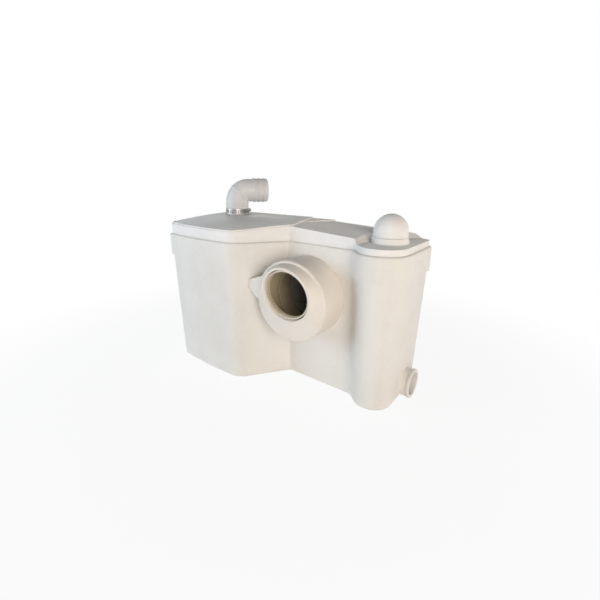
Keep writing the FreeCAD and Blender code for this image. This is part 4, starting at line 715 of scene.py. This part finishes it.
# %% Vent beads
VENT_AXIS = Vector((0.1817, 0.016, 0.0))
CAP_RADIUS = 0.0268
DOME_MIDDLE = 0.2833
SEAM_LEVEL = 0.2930
SEAM_BEAD = (0.0010, 0.0003)
SKIRT_LEVEL = 0.2765
SKIRT_BEAD = (0.0026, 0.0008)

seam_radius = math.sqrt(CAP_RADIUS ** 2 - (SEAM_LEVEL - DOME_MIDDLE) ** 2)
ring("vent_seam", "lid", "vent_cap", seam_radius, *SEAM_BEAD,
     VENT_AXIS + Vector((0, 0, SEAM_LEVEL)))
ring("vent_skirt", "lid", "vent_cap", CAP_RADIUS, *SKIRT_BEAD,
     VENT_AXIS + Vector((0, 0, SKIRT_LEVEL)))
print("vent seam of radius", round(seam_radius, 4), "and skirt of radius", CAP_RADIUS)

# %% [markdown]
# ## Sealing lips in the mouth
# The closet's outlet is pushed into the sleeve, where soft lips close round it. They run round the
# bore, so they are rings too, set along the mouth's leaning axis, each one further in.

# %% Mouth lips
LIP_BEAD = (0.0012, 0.0014)
LIP_STEPS = (0.0045, 0.0080, 0.0115)
LIP_TURN = (math.radians(90) + MOUTH_LEAN, 0.0, 0.0)

inwards = Vector((0.0, math.cos(MOUTH_LEAN), math.sin(MOUTH_LEAN)))
for number, way in enumerate(LIP_STEPS):
    ring(f"mouth_lip_{number + 1}", "sleeve", "sleeve", MOUTH_BORE, *LIP_BEAD,
         MOUTH_CENTRE + inwards * way, LIP_TURN)
print(len(LIP_STEPS), "lips in the mouth")

# %% [markdown]
# ## Solids that stay
# The rest keeps the frame's own mesh and only needs its finish. A solid that a dressed copy stands
# for gets it too, which does no harm, because it is hidden.

# %% Paint the other solids
for node, obj in frame["nodes"].items():
    obj.data.materials.clear()
    obj.data.materials.append(FINISHES[SLOT_OF[node]])
print(f"{len(frame['nodes']) - len(SHELLS)} solids keep their own mesh")

# %% [markdown]
# ## Floor and backdrop
# A studio picture of a white object on white paper: the object must stay darker than the paper. A
# brighter lamp would only burn the object out, so the paper gets its white from itself instead.
# Seen by the camera, or mirrored in metal, it glows almost white near the object, and fully white
# further off, so that no horizon shows. For every other ray it is pale paper that takes the
# object's shadow.

# %% Floor and backdrop
WHITE = (1, 1, 1, 1)
PAPER_SIZE = 12.0
PAPER_COLOUR = rgb(235, 235, 236)
PAPER_ROUGHNESS = 0.9
PAPER_GLOW = 0.9
PAPER_FADE = 0.35
PAPER_FADE_SOFT = PAPER_FADE * 0.8
SKY_COLOUR = (0.92, 0.96, 1.0, 1.0)
SKY_STRENGTH = 0.045


def seen(nodes):
    """1 for a ray from the camera, from a mirror or through glass, and 0 for other light."""
    camera, glossy, through = nodes.several(
        "ShaderNodeLightPath", ("Is Camera Ray", "Is Glossy Ray", "Is Transmission Ray"))
    return nodes.maths("MINIMUM", camera + glossy + through, 1.0)


def show(nodes, output, share, plain, glow):
    """Mixes two shaders by a share and sends them to the tree's output."""
    mixed = nodes.node("ShaderNodeMixShader", None, {0: share, 1: plain, 2: glow})
    nodes.join(nodes.tree.nodes[output].inputs["Surface"], mixed)


def make_floor():
    """A large sheet of paper under the object, white to the camera and shadowed by the object."""
    floor = primitive("paper", bpy.ops.mesh.primitive_plane_add, size=PAPER_SIZE)
    finish = Finish("paper", PAPER_ROUGHNESS)
    finish.set("Base Color", PAPER_COLOUR)
    x, y, _ = finish.axes()
    far = (x * x + y * y).above(PAPER_FADE, PAPER_FADE_SOFT)
    share = seen(finish) * (PAPER_GLOW + far * (1.0 - PAPER_GLOW))
    glow = finish.node("ShaderNodeEmission", None, {"Color": WHITE, "Strength": 1.0})
    plain = Value(finish, finish.shader.outputs[0])
    show(finish, "Material Output", share, plain, glow)
    floor.data.materials.append(finish.material)


def make_world():
    """Even light from all round, and white behind the object."""
    world = bpy.data.worlds.new("studio")
    bpy.context.scene.world = world
    world.use_nodes = True
    nodes = Nodes(world.node_tree)
    even = world.node_tree.nodes["Background"]
    nodes.join(even.inputs["Color"], SKY_COLOUR)
    nodes.join(even.inputs["Strength"], SKY_STRENGTH)
    white = nodes.node("ShaderNodeBackground", None, {"Color": WHITE, "Strength": 1.0})
    show(nodes, "World Output", seen(nodes), Value(nodes, even.outputs[0]), white)


make_floor()
make_world()
print("paper", PAPER_SIZE, "m wide, white world")

# %% [markdown]
# ## Lamps
# Four large square lamps light the object softly: a cool and a warm one in front, which turn one
# side bluish and the other side warm as in the photograph, and two weaker ones behind. The back
# lamps only light the back: a gloss that mirrored them would show a glare on the lid's top, so
# that is turned off for them. Each line holds a lamp's place, its power in watts, its colour, and
# whether gloss mirrors it.

# %% Lamps
LAMP_AIM = Vector((0.0, 0.0, 0.15))
LAMP_SIZE = 1.1
LAMPS = {
    "cool_box": ((-1.35, -1.35, 0.62), 20.5, (0.76, 0.88, 1.0), True),
    "warm_box": ((1.5, -1.2, 0.56), 24.5, (1.0, 0.92, 0.84), True),
    "back_left_box": ((-1.4, 1.3, 0.42), 15.0, (0.92, 0.96, 1.0), False),
    "back_right_box": ((1.4, 1.3, 0.42), 11.0, (1.0, 0.97, 0.93), False),
}


def make_lamp(name, place, power, colour, mirrored):
    """A square soft lamp aimed at the object, which gloss may mirror or not."""
    data = bpy.data.lights.new(name, "AREA")
    data.size = LAMP_SIZE
    data.energy = power
    data.color = colour
    lamp = bpy.data.objects.new(name, data)
    bpy.context.scene.collection.objects.link(lamp)
    lamp.location = place
    lamp.rotation_euler = (LAMP_AIM - Vector(place)).to_track_quat("-Z", "Y").to_euler()
    lamp.visible_glossy = mirrored


for name, settings in LAMPS.items():
    make_lamp(name, *settings)
print(len(LAMPS), "lamps")
